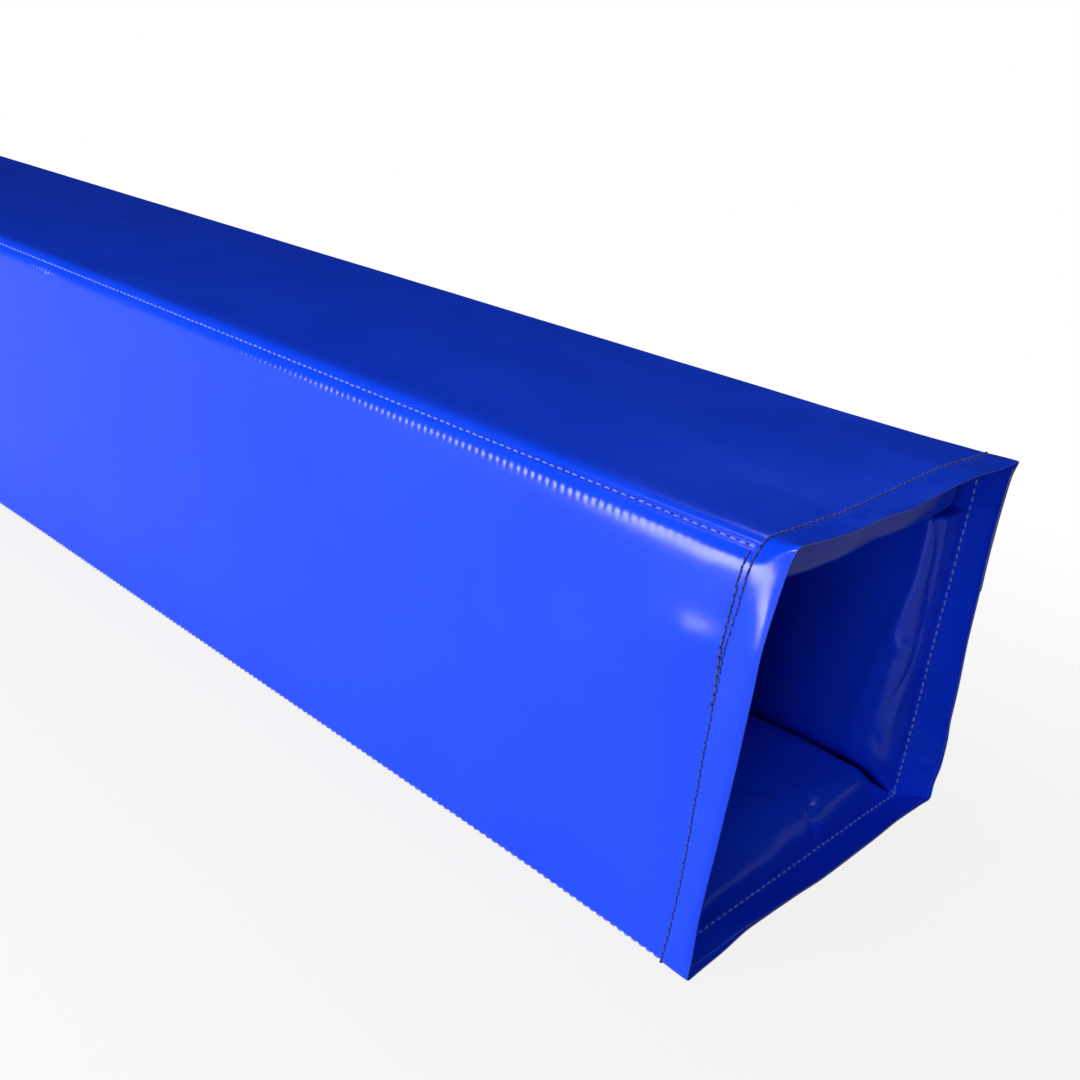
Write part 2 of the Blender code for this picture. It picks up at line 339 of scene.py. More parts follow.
@dataclass(frozen=True)
class Crease:
    """A soft fold pressed into a sheet, from one place to another, in millimetres.

    Places are (u, l): u across the panel and l inwards from the line of stitches, along the
    sheet. A negative depth makes a ridge.
    """

    start: tuple
    end: tuple
    depth: float
    width: float

    def height(self, u: np.ndarray, run: np.ndarray) -> np.ndarray:
        """How far the crease moves each place, in metres: down for a crease, up for a ridge.

        Args:
            u: Places across the panel.
            run: Places inwards from the line of stitches.

        Returns:
            Heights in metres.
        """
        a, b = np.array(self.start) * MM, np.array(self.end) * MM
        way = b - a
        t = ((u - a[0]) * way[0] + (run - a[1]) * way[1]) / (way @ way)
        held = np.clip(t, 0, 1)
        off = np.hypot(u - a[0] - held * way[0], run - a[1] - held * way[1])
        fade = 0.35 + 0.65 * np.sin(math.pi * np.clip(held, 0.02, 0.98))
        return -self.depth * MM * fade * bump(off, self.width * MM)


# creases of the cover by panel and end: 1 for the near end, -1 for the far one
COVER_CREASES = {
    (Face.FRONT, 1): (
        Crease((-92, 0), (-84, 24), 0.3, 7.0),
        Crease((-57, -8), (-55, 38), -2.9, 11.8),
        Crease((-30, 4), (40, 8), 0.5, 7.0),
    ),
    (Face.TOP, 1): (
        Crease((60, -11), (44, -9), -0.9, 7.0),
        Crease((20, -14), (4, -14), -0.8, 6.0),
    ),
    (Face.FRONT, -1): (
        Crease((-96, 8), (-76, 34), 0.6, 5.0),
        Crease((10, 2), (6, 50), -1.2, 14.0),
    ),
    (Face.TOP, -1): (
        Crease((70, -10), (40, -10), -0.6, 7.0),
        Crease((-40, 6), (-60, 40), -0.8, 11.0),
    ),
    (Face.BACK, -1): (Crease((-60, 4), (-40, 44), -1.0, 13.0),),
    (Face.BACK, 1): (Crease((-30, 4), (-60, 40), -0.9, 12.0),),
}


@dataclass(frozen=True)
class Lay:
    """Moves points of the straight pad to where the soft pad really lies.

    splay is how far the front's lower corner is pushed out along the whole pad. The ends' moves go
    on past the section by the share margin, and past the stitches up to hem_margin hems. side_hold
    sets how close to its own side a curve keeps.
    """

    near: EndLay
    far: EndLay
    splay: float = 0.004
    margin: float = 0.1
    hem_margin: float = 1.3
    side_hold: int = 7

    def moved(self, points: np.ndarray) -> np.ndarray:
        """The points after the ends have settled.

        Args:
            points: An array whose last axis is X, Y, Z.

        Returns:
            A new array of the same shape.
        """
        x, y, z = np.moveaxis(points, -1, 0)
        across = np.clip((y + HALF) / SIDE, -self.margin, 1 + self.margin)
        up = np.clip(z / SIDE, -self.margin, 1 + self.margin)
        down, ahead = 1 - up, 1 - across
        shares = np.stack([ahead * up, across * up, ahead * down, across * down], -1)
        out = points.astype(float).copy()
        out[..., 1] -= self.splay * np.clip(ahead, 0, 1) ** 6 * np.clip(down, 0, 1) ** 3
        for sign, end in ((1.0, self.near), (-1.0, self.far)):
            past_stitch = x * sign - SIZES.stitch_line
            settle = eased((past_stitch + end.reach) / end.reach)
            flare = np.clip(past_stitch / (HALF_LENGTH - SIZES.stitch_line), 0, self.hem_margin)
            at_stitch = shares @ np.array(end.stitch) * MM
            at_hem = shares @ np.array(end.hem) * MM
            sides = (
                (end.top, up, across, (0, 1)),
                (end.bottom, down, across, (0, -1)),
                (end.front, ahead, down, (-1, 0)),
                (end.back, across, down, (1, 0)),
            )
            for side, nearness, share, (out_y, out_z) in sides:
                weight = np.clip(nearness, 0, 1) ** self.side_hold
                for total, along_curve, outward_curve in (
                    (at_stitch, side.stitch_along, side.stitch_outward),
                    (at_hem, side.hem_along, side.hem_outward),
                ):
                    along = side.value(along_curve, share)
                    outward = side.value(outward_curve, share)
                    way = np.stack([along, outward * out_y, outward * out_z], -1)
                    total += weight[..., None] * way
            move = settle[..., None] * at_stitch + flare[..., None] * (at_hem - at_stitch)
            move[..., 0] *= sign
            out += move
        return out


@dataclass(frozen=True)
class FoldLie:
    """How the cover lies over one sewn fold. Heights are in millimetres, lengths in metres.

    calm is the width of the strip in which the cover can't wave, and groove the depth that the
    stitches pull it down by. The puckers between them have one height before the fold and one
    after it. The cover sinks by slack beside the fold and comes back over slack_width.
    """

    number: int
    calm: float = 0.009
    pucker_before: float = 0.1
    pucker_after: float = 0.1
    groove: float = 0.45
    slack: float = 0.4
    slack_width: float = 0.012

    @property
    def centre(self) -> float:
        """s of the sewn line."""
        return (self.number + 0.5) * SIDE

    def inside(self, x: np.ndarray) -> np.ndarray:
        """1 between the two hems and 0 past their stitches."""
        return 1 - eased((np.abs(x) - SIZES.stitch_line + 0.004) / 0.006)

    def puckers(self, x: np.ndarray, off: np.ndarray) -> np.ndarray:
        """The small swells that the thread draws up between its holes.

        Args:
            x: Places along the pad.
            off: Distance from the fold, positive after it.

        Returns:
            Height at each place.
        """
        level = 0 * off
        swell = 0.9 + 0.35 * soft_field(x, level, 0.09, 11 + self.number)
        swell *= 1 - 0.7 * eased((np.abs(x) - 0.8) / 0.07)
        wander = 0.2 * soft_field(x, level, 0.05, 21 + self.number)
        pitch = SIZES.stitch_pitch
        first_hole = SIZES.fold_row_start + pitch / 2
        wave = 2 * np.abs(np.sin(math.pi * (x - first_hole) / pitch + wander)) ** 0.8 - 1.2
        reach = np.abs(off)
        band = eased((reach - 0.0015) / 0.005) * (1 - eased((reach - 0.006) / 0.009))
        return np.where(off > 0, self.pucker_after, self.pucker_before) * band * wave * swell

    def sunk(self, x: np.ndarray, off: np.ndarray) -> np.ndarray:
        """How far the cover sinks beside the fold, where the foam stops short of it."""
        return self.slack * np.exp(-np.abs(off) / self.slack_width) * self.inside(x)

    def height(self, x: np.ndarray, s: np.ndarray) -> np.ndarray:
        """Outward height of all that the fold does to the cover.

        Args:
            x: Places along the pad.
            s: Places round it.

        Returns:
            Height at each place.
        """
        off = s - self.centre
        sewn = self.puckers(x, off) - self.groove * bump(off, SIZES.groove_width)
        fullness = 0.5 + 0.5 * eased((x - 0.1) / 0.7)
        return sewn * self.inside(x) - self.sunk(x, off) * fullness


@dataclass(frozen=True)
class RoundedFoldLie(FoldLie):
    """A fold with a broad slack band that carries on into the hem and is loosest at the ends."""

    slack: float = 1.7
    slack_after: float = 0.3
    slack_width: float = 0.0094
    slack_edge: float = 0.0042
    loose: float = 0.7
    loose_shift: float = 0.0006
    loose_edge: float = 0.0004

    def sunk(self, x: np.ndarray, off: np.ndarray) -> np.ndarray:
        """How far the cover sinks beside the fold, as far as the hem's edge.

        Args:
            x: Places along the pad.
            off: Distance from the fold, positive after it.

        Returns:
            Depth at each place.
        """
        after = eased((off + 0.005) / 0.01)
        loose = eased((np.abs(x) - 0.7) / 0.1) * after
        edge = np.abs(off) - self.slack_width - self.loose_shift * loose
        edge = edge / (self.slack_edge - self.loose_edge * loose)
        depth = self.slack + self.slack_after * after + self.loose * loose
        fade = 1 - eased((np.abs(x) - SIZES.stitch_line) / SIZES.hem)
        return depth / (1 + np.exp(edge)) * fade


@dataclass(frozen=True)
class Cover:
    """The cover's outer surface as a function of x and s.

    The heights of crowns, hem and underside are in millimetres, and flap_press and back_rise, by
    which the flap and the back hem draw together at the ends, in metres.
    """

    lay: Lay
    folds: tuple = (
        RoundedFoldLie(0, calm=0.021, pucker_after=0.34),
        FoldLie(1),
        FoldLie(2, slack=0.9, slack_width=0.014),
    )
    crowns: tuple = ((Face.TOP, 0.8), (Face.FRONT, 1.0), (Face.BACK, 0.8))
    hem_swell: float = 0.75
    hem_groove: float = 0.4
    hem_pucker: float = 0.07
    pad_end_swell: float = 0.5
    edge_turn: float = 0.7
    under_press: float = 0.2
    flap_press: float = 0.0028
    back_rise: float = 0.0085

    def radius(self, x: np.ndarray, padded: float, hem: float = SIZES.hem_corner) -> np.ndarray:
        """Corner radius, which tightens from the padding to the hem's edge.

        Args:
            x: Places along the pad.
            padded: Radius over the padding.
            hem: Radius at the hem's edge.

        Returns:
            Radius at each place.
        """
        before = -0.003 if padded == SIZES.corner else 0.03
        way = np.abs(x) - SIZES.stitch_line + before
        share = way / (HALF_LENGTH - SIZES.stitch_line + before)
        return padded + (hem - padded) * eased(share)

    def corner(
        self, w: np.ndarray, radius: np.ndarray, inset: np.ndarray, reach: float
    ) -> tuple[np.ndarray, ...]:
        """Section of a rounded corner in the panel coordinates of the side before it.

        Args:
            w: Place along the path, from minus to plus the corner's span.
            radius: Corner radius at each place.
            inset: Depth under the outer face.
            reach: The panel's half width out to the sharp corner.

        Returns:
            u, v, and the outward direction's u and v.
        """
        span = SIZES.corner_span
        arc = radius * math.pi / 4
        path = np.abs(w) / span * (span - radius + arc)
        turn = math.pi / 4 + np.sign(w) * np.minimum(path / radius, math.pi / 4)
        straight = np.maximum(path - arc, 0) * np.sign(w)
        inner = radius - inset
        u = reach - radius + inner * np.sin(turn) + np.minimum(straight, 0)
        v = radius - inner * np.cos(turn) + np.maximum(straight, 0)
        return u, v, np.sin(turn), -np.cos(turn)

    def section(
        self, x: np.ndarray, s: np.ndarray, inset: np.ndarray
    ) -> tuple[np.ndarray, np.ndarray, np.ndarray, np.ndarray]:
        """Y, Z and outward direction of the straight pad's section, before any relief.

        Args:
            x: Places along the pad.
            s: Places round it.
            inset: Depth under the outer face.

        Returns:
            Y, Z, and the outward direction's Y and Z.
        """
        x, s, inset = np.broadcast_arrays(x, s, inset)
        y, z = np.zeros(x.shape), np.zeros(x.shape)
        ny, nz = np.zeros(x.shape), np.zeros(x.shape)
        span = SIZES.corner_span
        for face in Face:
            u = s - face.centre
            flat = np.abs(u) <= HALF - span
            if face is Face.BACK:
                flat = u >= span - HALF
            if face is Face.TOP:
                flat = (u <= HALF - span) & (u >= span - SIZES.flap_reach)
            y[flat], z[flat] = face.place(u[flat], inset[flat])
            ny[flat], nz[flat] = face.turn(0 * u[flat], -1 + 0 * u[flat])
            turned = np.abs(u - HALF) < span
            if face is not Face.BACK and turned.any():
                radius = self.radius(x[turned], SIZES.fold_corners[face.value])
                cu, cv, nu, nv = self.corner(u[turned] - HALF, radius, inset[turned], HALF)
                y[turned], z[turned] = face.place(cu, cv)
                ny[turned], nz[turned] = face.turn(nu, nv)
        reach = SIZES.flap_reach
        hanging = s < span - reach
        if hanging.any():
            w = -(s[hanging] + reach)
            tight = self.radius(x[hanging], SIZES.closure_corner, SIZES.closure_hem_corner)
            cu, cv, nu, nv = self.corner(np.minimum(w, span), tight, inset[hanging], reach)
            cv = np.where(w > span, w, cv)
            pressed = eased((np.abs(x[hanging]) - 0.868) / 0.024) * eased((w + 0.004) / 0.012)
            cu = cu - self.flap_press * pressed
            y[hanging], z[hanging] = Face.TOP.place(-cu, cv)
            ny[hanging], nz[hanging] = Face.TOP.turn(-nu, nv)
        return y, z, ny, nz

    def crowned(self, s: np.ndarray, to_stitch: np.ndarray) -> np.ndarray:
        """The swell of the padded faces, which ends at the hem's stitches.

        Args:
            s: Places round the pad.
            to_stitch: Distance past the hem's line of stitches.

        Returns:
            Height at each place.
        """
        padded = 1 - eased((to_stitch + 0.03) / 0.03)
        height = np.zeros(s.shape)
        for face, crown in self.crowns:
            share = np.clip(np.abs(s - face.centre) / (HALF - SIZES.corner), 0, 1)
            height += crown * (1 - share**2) ** 2 * padded
        return height

    def play(self, s: np.ndarray) -> np.ndarray:
        """How freely the cover can wave: 1 on the panels and near 0 on every corner.

        Args:
            s: Places round the pad.

        Returns:
            Share at each place.
        """
        free = 1 - 0.9 * bump(s + SIZES.flap_reach, FoldLie.calm)
        for fold in self.folds:
            free = free * (1 - 0.9 * bump(s - fold.centre, fold.calm))
        return free

    def hem(self, s: np.ndarray, to_stitch: np.ndarray) -> np.ndarray:
        """The hem's swell, its sunk and puckered stitch line and its turned down edge.

        Args:
            s: Places round the pad.
            to_stitch: Distance past the hem's line of stitches.

        Returns:
            Height at each place.
        """
        rolled = np.clip(to_stitch / SIZES.hem, 0, 1)
        height = self.hem_swell * np.sin(math.pi * rolled**1.4) ** 1.2
        height -= self.hem_groove * bump(to_stitch, SIZES.groove_width)
        pucker = np.cos(math.tau * s / SIZES.stitch_pitch) * np.exp(-np.abs(to_stitch) / 0.0035)
        height += self.hem_pucker * pucker
        height += self.pad_end_swell * bump(to_stitch + 0.02, 0.012)
        return height - self.edge_turn * np.clip((to_stitch - 0.0165) / 0.004, 0, 1) ** 2

    def relief(self, x: np.ndarray, s: np.ndarray) -> np.ndarray:
        """How far the cover stands out from the straight pad, in metres.

        Args:
            x: Places along the pad.
            s: Places round it.

        Returns:
            Outward height at each place.
        """
        x, s = np.broadcast_arrays(x, s)
        to_stitch = np.abs(x) - SIZES.stitch_line
        play = self.play(s)
        height = self.crowned(s, to_stitch) + self.hem(s, to_stitch) * play
        for fold in self.folds:
            height += fold.height(x, s)
        uneven = 0.35 * soft_field(x, s, 0.16, 5) + 0.16 * soft_field(x, s, 0.06, 6)
        height += uneven * (0.35 + 0.9 * bump(to_stitch, 0.09)) * (0.3 + 0.7 * play)
        for (face, sign), creases in COVER_CREASES.items():
            for crease in creases:
                height += crease.height(s - face.centre, SIZES.stitch_line - x * sign) / MM
        under = eased((HALF - np.abs(s - Face.BOTTOM.centre)) / 0.01)
        height -= under * (np.maximum(height, 0) + self.under_press)
        return height * MM

    def raised(self, x: np.ndarray, u: np.ndarray) -> np.ndarray:
        """How far the back panel's hem is drawn up under the top's, past the padding."""
        drawn = eased((np.abs(x) - 0.872) / 0.016)
        return self.back_rise * drawn * np.clip((u - HALF + 0.04) / 0.028, 0, 1)

    def straight(self, x: np.ndarray, s: np.ndarray, inset: np.ndarray = 0.0) -> np.ndarray:
        """Points of the cover, or of a sheet under it, before the pad's ends have settled.

        Args:
            x: Places along the pad.
            s: Places round it.
            inset: Depth under the outer face.

        Returns:
            An array whose last axis is X, Y, Z.
        """
        x, s, inset = np.broadcast_arrays(
            np.asarray(x, float), np.asarray(s, float), np.asarray(inset, float)
        )
        y, z, ny, nz = self.section(x, s, inset)
        out = self.relief(x, s)
        return np.stack([x, y + ny * out, z + nz * out], -1)

    def point(self, x: np.ndarray, s: np.ndarray, inset: np.ndarray = 0.0) -> np.ndarray:
        """Finished points of the cover, or of a sheet at a depth under its outer face."""
        return self.lay.moved(self.straight(x, s, inset))

    def outward(self, x: np.ndarray, s: np.ndarray) -> np.ndarray:
        """Outward unit directions of the finished cover.

        Args:
            x: Places along the pad.
            s: Places round it.

        Returns:
            An array whose last axis is X, Y, Z.
        """
        step = 0.0002
        along = self.point(x + step, s) - self.point(x - step, s)
        round_it = self.point(x, s + step) - self.point(x, s - step)
        normal = np.cross(along, round_it)
        normal /= np.linalg.norm(normal, axis=-1, keepdims=True)
        x, s = np.broadcast_arrays(x, s)
        _, _, ny, nz = self.section(x, s, np.zeros(x.shape))
        side = normal[..., 1] * ny + normal[..., 2] * nz
        return normal * np.sign(side)[..., None]


def sheet_object(name: str, points: np.ndarray, outward: tuple, places: np.ndarray) -> Piece:
    """A quad mesh over a grid of points.

    Args:
        name: The object's name.
        points: Grid of points, rows by columns by 3.
        outward: Roughly the direction that the visible side faces, at the grid's middle.
        places: Grid of x and s, kept as the piece's UV map so that a weave follows the sheet.

    Returns:
        The new object, linked to the scene.
    """
    rows, columns = points.shape[:2]
    index = np.arange(rows * columns).reshape(rows, columns)
    quads = np.stack([index[:-1, :-1], index[1:, :-1], index[1:, 1:], index[:-1, 1:]], -1)
    i, j = rows // 2, columns // 2
    facing = np.cross(points[i + 1, j] - points[i, j], points[i, j + 1] - points[i, j])
    if facing @ np.asarray(outward, float) < 0:
        quads = quads[..., ::-1]
    quads = quads.reshape(-1, 4)
    mesh = bpy.data.meshes.new(name)
    mesh.vertices.add(rows * columns)
    mesh.vertices.foreach_set("co", points.reshape(-1).astype(np.float32))
    mesh.loops.add(quads.size)
    mesh.loops.foreach_set("vertex_index", quads.reshape(-1).astype(np.int32))
    mesh.polygons.add(len(quads))
    mesh.polygons.foreach_set("loop_start", np.arange(0, quads.size, 4, dtype=np.int32))
    mesh.update(calc_edges=True)
    uv = mesh.uv_layers.new(name="sheet")
    corners = places.reshape(-1, 2)[quads.reshape(-1)]
    uv.data.foreach_set("uv", corners.reshape(-1).astype(np.float32))
    mesh.shade_smooth()
    obj = bpy.data.objects.new(name, mesh)
    bpy.context.scene.collection.objects.link(obj)
    return obj


def thickened(obj: Piece, thickness: float, finishes: list) -> None:
    """Gives a sheet its thickness behind the visible side, with its cut edges in another finish.

    Args:
        obj: The sheet.
        thickness: Thickness in metres.
        finishes: The sheet's material and the one on its cut edges.
    """
    for finish in finishes:
        obj.data.materials.append(finish)
    wall = obj.modifiers.new("thickness", "SOLIDIFY")
    wall.thickness = thickness
    wall.offset = -1
    wall.use_quality_normals = True
    wall.material_offset_rim = len(finishes) - 1
    applied(obj)
    obj.data.set_sharp_from_angle(angle=math.radians(40))


def applied(obj: Piece) -> None:
    """Applies every modifier of one object.

    Args:
        obj: The object.
    """
    bpy.ops.object.select_all(action="DESELECT")
    bpy.context.view_layer.objects.active = obj
    obj.select_set(True)
    for modifier in list(obj.modifiers):
        bpy.ops.object.modifier_apply(modifier=modifier.name)
    obj.select_set(False)


class Nodes:
    """A short way to build a material's node tree."""

    def __init__(self, name: str) -> None:
        """Makes a material with a Principled shader and an output.

        Args:
            name: The material's name.
        """
        self.material = bpy.data.materials.new(name)
        self.material.use_nodes = True
        self.tree = self.material.node_tree
        self.shader = self.tree.nodes["Principled BSDF"]

    def add(self, kind: str, **settings: object) -> bpy.types.Node:
        """Adds a node and sets its properties.

        Args:
            kind: The node's type.
            settings: Its properties, by name.

        Returns:
            The node.
        """
        node = self.tree.nodes.new(kind)
        for key, value in settings.items():
            setattr(node, key, value)
        return node

    def link(self, source: Socket, target: Socket) -> None:
        """Joins an output to an input."""
        self.tree.links.new(source, target)

    def place(self) -> Socket:
        """The place on the object, which a pattern follows."""
        return self.add("ShaderNodeTexCoord").outputs["Object"]

    def split(self, vector: Socket) -> list:
        """The three parts of a vector.

        Args:
            vector: The vector's socket.

        Returns:
            Three output sockets.
        """
        node = self.add("ShaderNodeSeparateXYZ")
        self.link(vector, node.inputs[0])
        return list(node.outputs)

    def math(
        self, operation: str, first: Socket | float, second: Socket | float | None = None
    ) -> Socket:
        """A Math node on sockets or numbers.

        Args:
            operation: The Math node's operation.
            first: First socket or number.
            second: Second socket or number, if the operation has one.

        Returns:
            The node's output socket.
        """
        node = self.add("ShaderNodeMath", operation=operation)
        for socket, value in zip(node.inputs, (first, second)):
            if value is None:
                continue
            if isinstance(value, (int, float)):
                socket.default_value = value
            else:
                self.link(value, socket)
        return node.outputs[0]

    def noise(self, vector: Socket, scale: float, detail: float = 2.0) -> Socket:
        """A noise pattern's value, from 0 to 1.

        Args:
            vector: Place that the pattern follows.
            scale: Swells in a metre.
            detail: Finer layers added.

        Returns:
            The pattern's output socket.
        """
        node = self.add("ShaderNodeTexNoise")
        node.inputs["Scale"].default_value = scale
        node.inputs["Detail"].default_value = detail
        self.link(vector, node.inputs["Vector"])
        return node.outputs["Fac"]

    def mapped(
        self, value: Socket, low: float, high: float, start: float = 0.3, end: float = 0.7
    ) -> Socket:
        """A value brought from the range start to end to the range low to high.

        Args:
            value: Socket that holds it.
            low: What start becomes.
            high: What end becomes.
            start: First end of the old range.
            end: Last end of the old range.

        Returns:
            The node's output socket.
        """
        node = self.add("ShaderNodeMapRange")
        ranges = {"From Min": start, "From Max": end, "To Min": low, "To Max": high}
        for key, number in ranges.items():
            node.inputs[key].default_value = number
        self.link(value, node.inputs["Value"])
        return node.outputs[0]

    def tinted(self, value: Socket, dark: tuple, light: tuple) -> None:
        """Drives the base colour between two tones.

        Args:
            value: Socket that runs from 0 to 1.
            dark: Tone at 0.
            light: Tone at 1.
        """
        node = self.add("ShaderNodeMix", data_type="RGBA")
        node.inputs["A"].default_value = (*dark, 1)
        node.inputs["B"].default_value = (*light, 1)
        self.link(value, node.inputs["Factor"])
        self.link(node.outputs["Result"], self.shader.inputs["Base Color"])

    def bumped(
        self, height: Socket, distance: float, strength: float = 1.0, under: Socket | None = None
    ) -> Socket:
        """Raises the surface by a height pattern.

        Args:
            height: The pattern's socket.
            distance: Height of the pattern's full range, in metres.
            strength: Share of it that shows.
            under: Normal output of a coarser bump to build on.

        Returns:
            The node's normal output.
        """
        node = self.add("ShaderNodeBump")
        node.inputs["Distance"].default_value = distance
        node.inputs["Strength"].default_value = strength
        self.link(height, node.inputs["Height"])
        if under is not None:
            self.link(under, node.inputs["Normal"])
        return node.outputs["Normal"]


@dataclass(frozen=True)
class VinylFinish:
    """Glossy coated fabric: a smooth film over a fine woven base that just shows through."""

    name: str
    dark: tuple
    light: tuple
    roughness: float = 0.22
    weave: float = 0.00095
    weave_height: float = 0.000004
    film_scale: float = 260.0
    film_height: float = 0.00002
    broad_scale: float = 14.0

    def make(self) -> Material:
        """Makes the material.

        Returns:
            The material.
        """
        nodes = Nodes(self.name)
        parts = nodes.split(nodes.add("ShaderNodeUVMap", uv_map="sheet").outputs[0])
        waves = [
            nodes.math("SINE", nodes.math("MULTIPLY", part, math.tau / self.weave))
            for part in parts[:2]
        ]
        weave = nodes.math("MULTIPLY", *waves)
        place = nodes.place()
        film = nodes.noise(place, self.film_scale)
        broad = nodes.noise(place, self.broad_scale)
        nodes.tinted(nodes.mapped(broad, 0, 1), self.dark, self.light)
        rough = nodes.mapped(broad, self.roughness - 0.02, self.roughness + 0.03)
        nodes.link(rough, nodes.shader.inputs["Roughness"])
        first = nodes.bumped(weave, self.weave_height)
        normal = nodes.bumped(film, self.film_height, 0.5, first)
        nodes.link(normal, nodes.shader.inputs["Normal"])
        nodes.shader.inputs["IOR"].default_value = 1.5
        return nodes.material


@dataclass(frozen=True)
class CutEdgeFinish:
    """The cut edge of the sheet, where the grey woven base shows between the films."""

    name: str = "cut_sheet_edge"
    dark: tuple = (0.06, 0.09, 0.3)
    light: tuple = (0.2, 0.26, 0.52)
    scale: float = 1500.0

    def make(self) -> Material:
        """Makes the material.

        Returns:
            The material.
        """
        nodes = Nodes(self.name)
        place = nodes.place()
        threads = nodes.mapped(nodes.noise(place, self.scale), 0, 1)
        nodes.tinted(threads, self.dark, self.light)
        nodes.shader.inputs["Roughness"].default_value = 0.6
        return nodes.material


@dataclass(frozen=True)
class ThreadFinish:
    """Twisted sewing thread with a dull shine."""

    name: str
    dark: tuple
    light: tuple
    scale: float = 2500.0

    def make(self) -> Material:
        """Makes the material.

        Returns:
            The material.
        """
        nodes = Nodes(self.name)
        place = nodes.place()
        ply = nodes.mapped(nodes.noise(place, self.scale, 1.0), 0, 1)
        nodes.tinted(ply, self.dark, self.light)
        nodes.shader.inputs["Roughness"].default_value = 0.45
        nodes.shader.inputs["Sheen Weight"].default_value = 0.3
        nodes.link(nodes.bumped(ply, 0.00005), nodes.shader.inputs["Normal"])
        return nodes.material


@dataclass(frozen=True)
class NeedleHoleShadeFinish:
    """Painted shade: a dark disc where the needle leaves its hole at each end of a stitch."""

    name: str = "needle_hole_painted_shade"
    dark: tuple = (0.001, 0.004, 0.03)
    light: tuple = (0.003, 0.008, 0.06)
    scale: float = 800.0

    def make(self) -> Material:
        """Makes the material.

        Returns:
            The material.
        """
        nodes = Nodes(self.name)
        place = nodes.place()
        shade = nodes.mapped(nodes.noise(place, self.scale, 1.0), 0, 1)
        nodes.tinted(shade, self.dark, self.light)
        nodes.shader.inputs["Roughness"].default_value = 0.8
        return nodes.material


@dataclass(frozen=True)
class FoamFinish:
    """Open cell foam, with its cell pits painted darker as shade."""

    name: str = "open_cell_foam"
    dark: tuple = (0.06, 0.065, 0.07)
    light: tuple = (0.2, 0.21, 0.22)
    scale: float = 700.0

    def make(self) -> Material:
        """Makes the material.

        Returns:
            The material.
        """
        nodes = Nodes(self.name)
        place = nodes.place()
        cells = nodes.add("ShaderNodeTexVoronoi")
        cells.inputs["Scale"].default_value = self.scale
        nodes.link(place, cells.inputs["Vector"])
        depth = cells.outputs["Distance"]
        # colour darkens towards each cell's pit: painted shade
        nodes.tinted(nodes.mapped(depth, 0, 1, 0.0, 0.8), self.dark, self.light)
        nodes.shader.inputs["Roughness"].default_value = 0.95
        nodes.link(nodes.bumped(depth, 0.0006), nodes.shader.inputs["Normal"])
        return nodes.material


class Pile(Enum):
    """What stands on a fastening tape: hooks in rows, or tangled loops."""

    HOOKS = "hook_tape"
    LOOPS = "loop_tape"


@dataclass(frozen=True)
class TapeFinish:
    """Hook or loop tape: a woven band with its pile."""

    pile: Pile
    hook_pitch: float = 0.0014
    dark: tuple = (0.006, 0.016, 0.12)
    light: tuple = (0.02, 0.05, 0.3)
    scale: float = 1100.0

    def make(self) -> Material:
        """Makes the material.

        Returns:
            The material.
        """
        nodes = Nodes(self.pile.value)
        place = nodes.place()
        fuzz = nodes.noise(place, self.scale, 4.0)
        height = fuzz
        if self.pile is Pile.HOOKS:
            parts = nodes.split(place)
            rows = [
                nodes.math("SINE", nodes.math("MULTIPLY", part, math.tau / self.hook_pitch))
                for part in (parts[0], parts[2])
            ]
            height = nodes.math("ADD", nodes.math("MULTIPLY", *rows), fuzz)
        nodes.tinted(nodes.mapped(fuzz, 0, 1), self.dark, self.light)
        nodes.shader.inputs["Roughness"].default_value = 0.85
        nodes.shader.inputs["Sheen Weight"].default_value = 0.4
        nodes.link(nodes.bumped(height, 0.0004), nodes.shader.inputs["Normal"])
        return nodes.material


class Finishes:
    """Every material, made once."""

    def __init__(self) -> None:
        """Makes the materials."""
        self.cover = VinylFinish("cover_vinyl", (0.004, 0.056, 0.88), (0.006, 0.064, 0.93)).make()
        self.liner = VinylFinish("liner_vinyl", (0.003, 0.044, 0.8), (0.005, 0.052, 0.88)).make()
        self.edge = CutEdgeFinish().make()
        self.hem_thread = ThreadFinish("hem_thread", (0.01, 0.024, 0.17), (0.03, 0.06, 0.32)).make()
        # the same thread again, painted lighter: a painted highlight for rows that catch the light on
        # the fold and inside
        self.thread_painted_lighter = ThreadFinish("thread_painted_lighter", (0.1, 0.19, 0.6), (0.22, 0.34, 0.78)).make()
        self.hole = NeedleHoleShadeFinish().make()
        self.foam = FoamFinish().make()
        self.hook = TapeFinish(Pile.HOOKS).make()
        self.loop = TapeFinish(Pile.LOOPS).make()


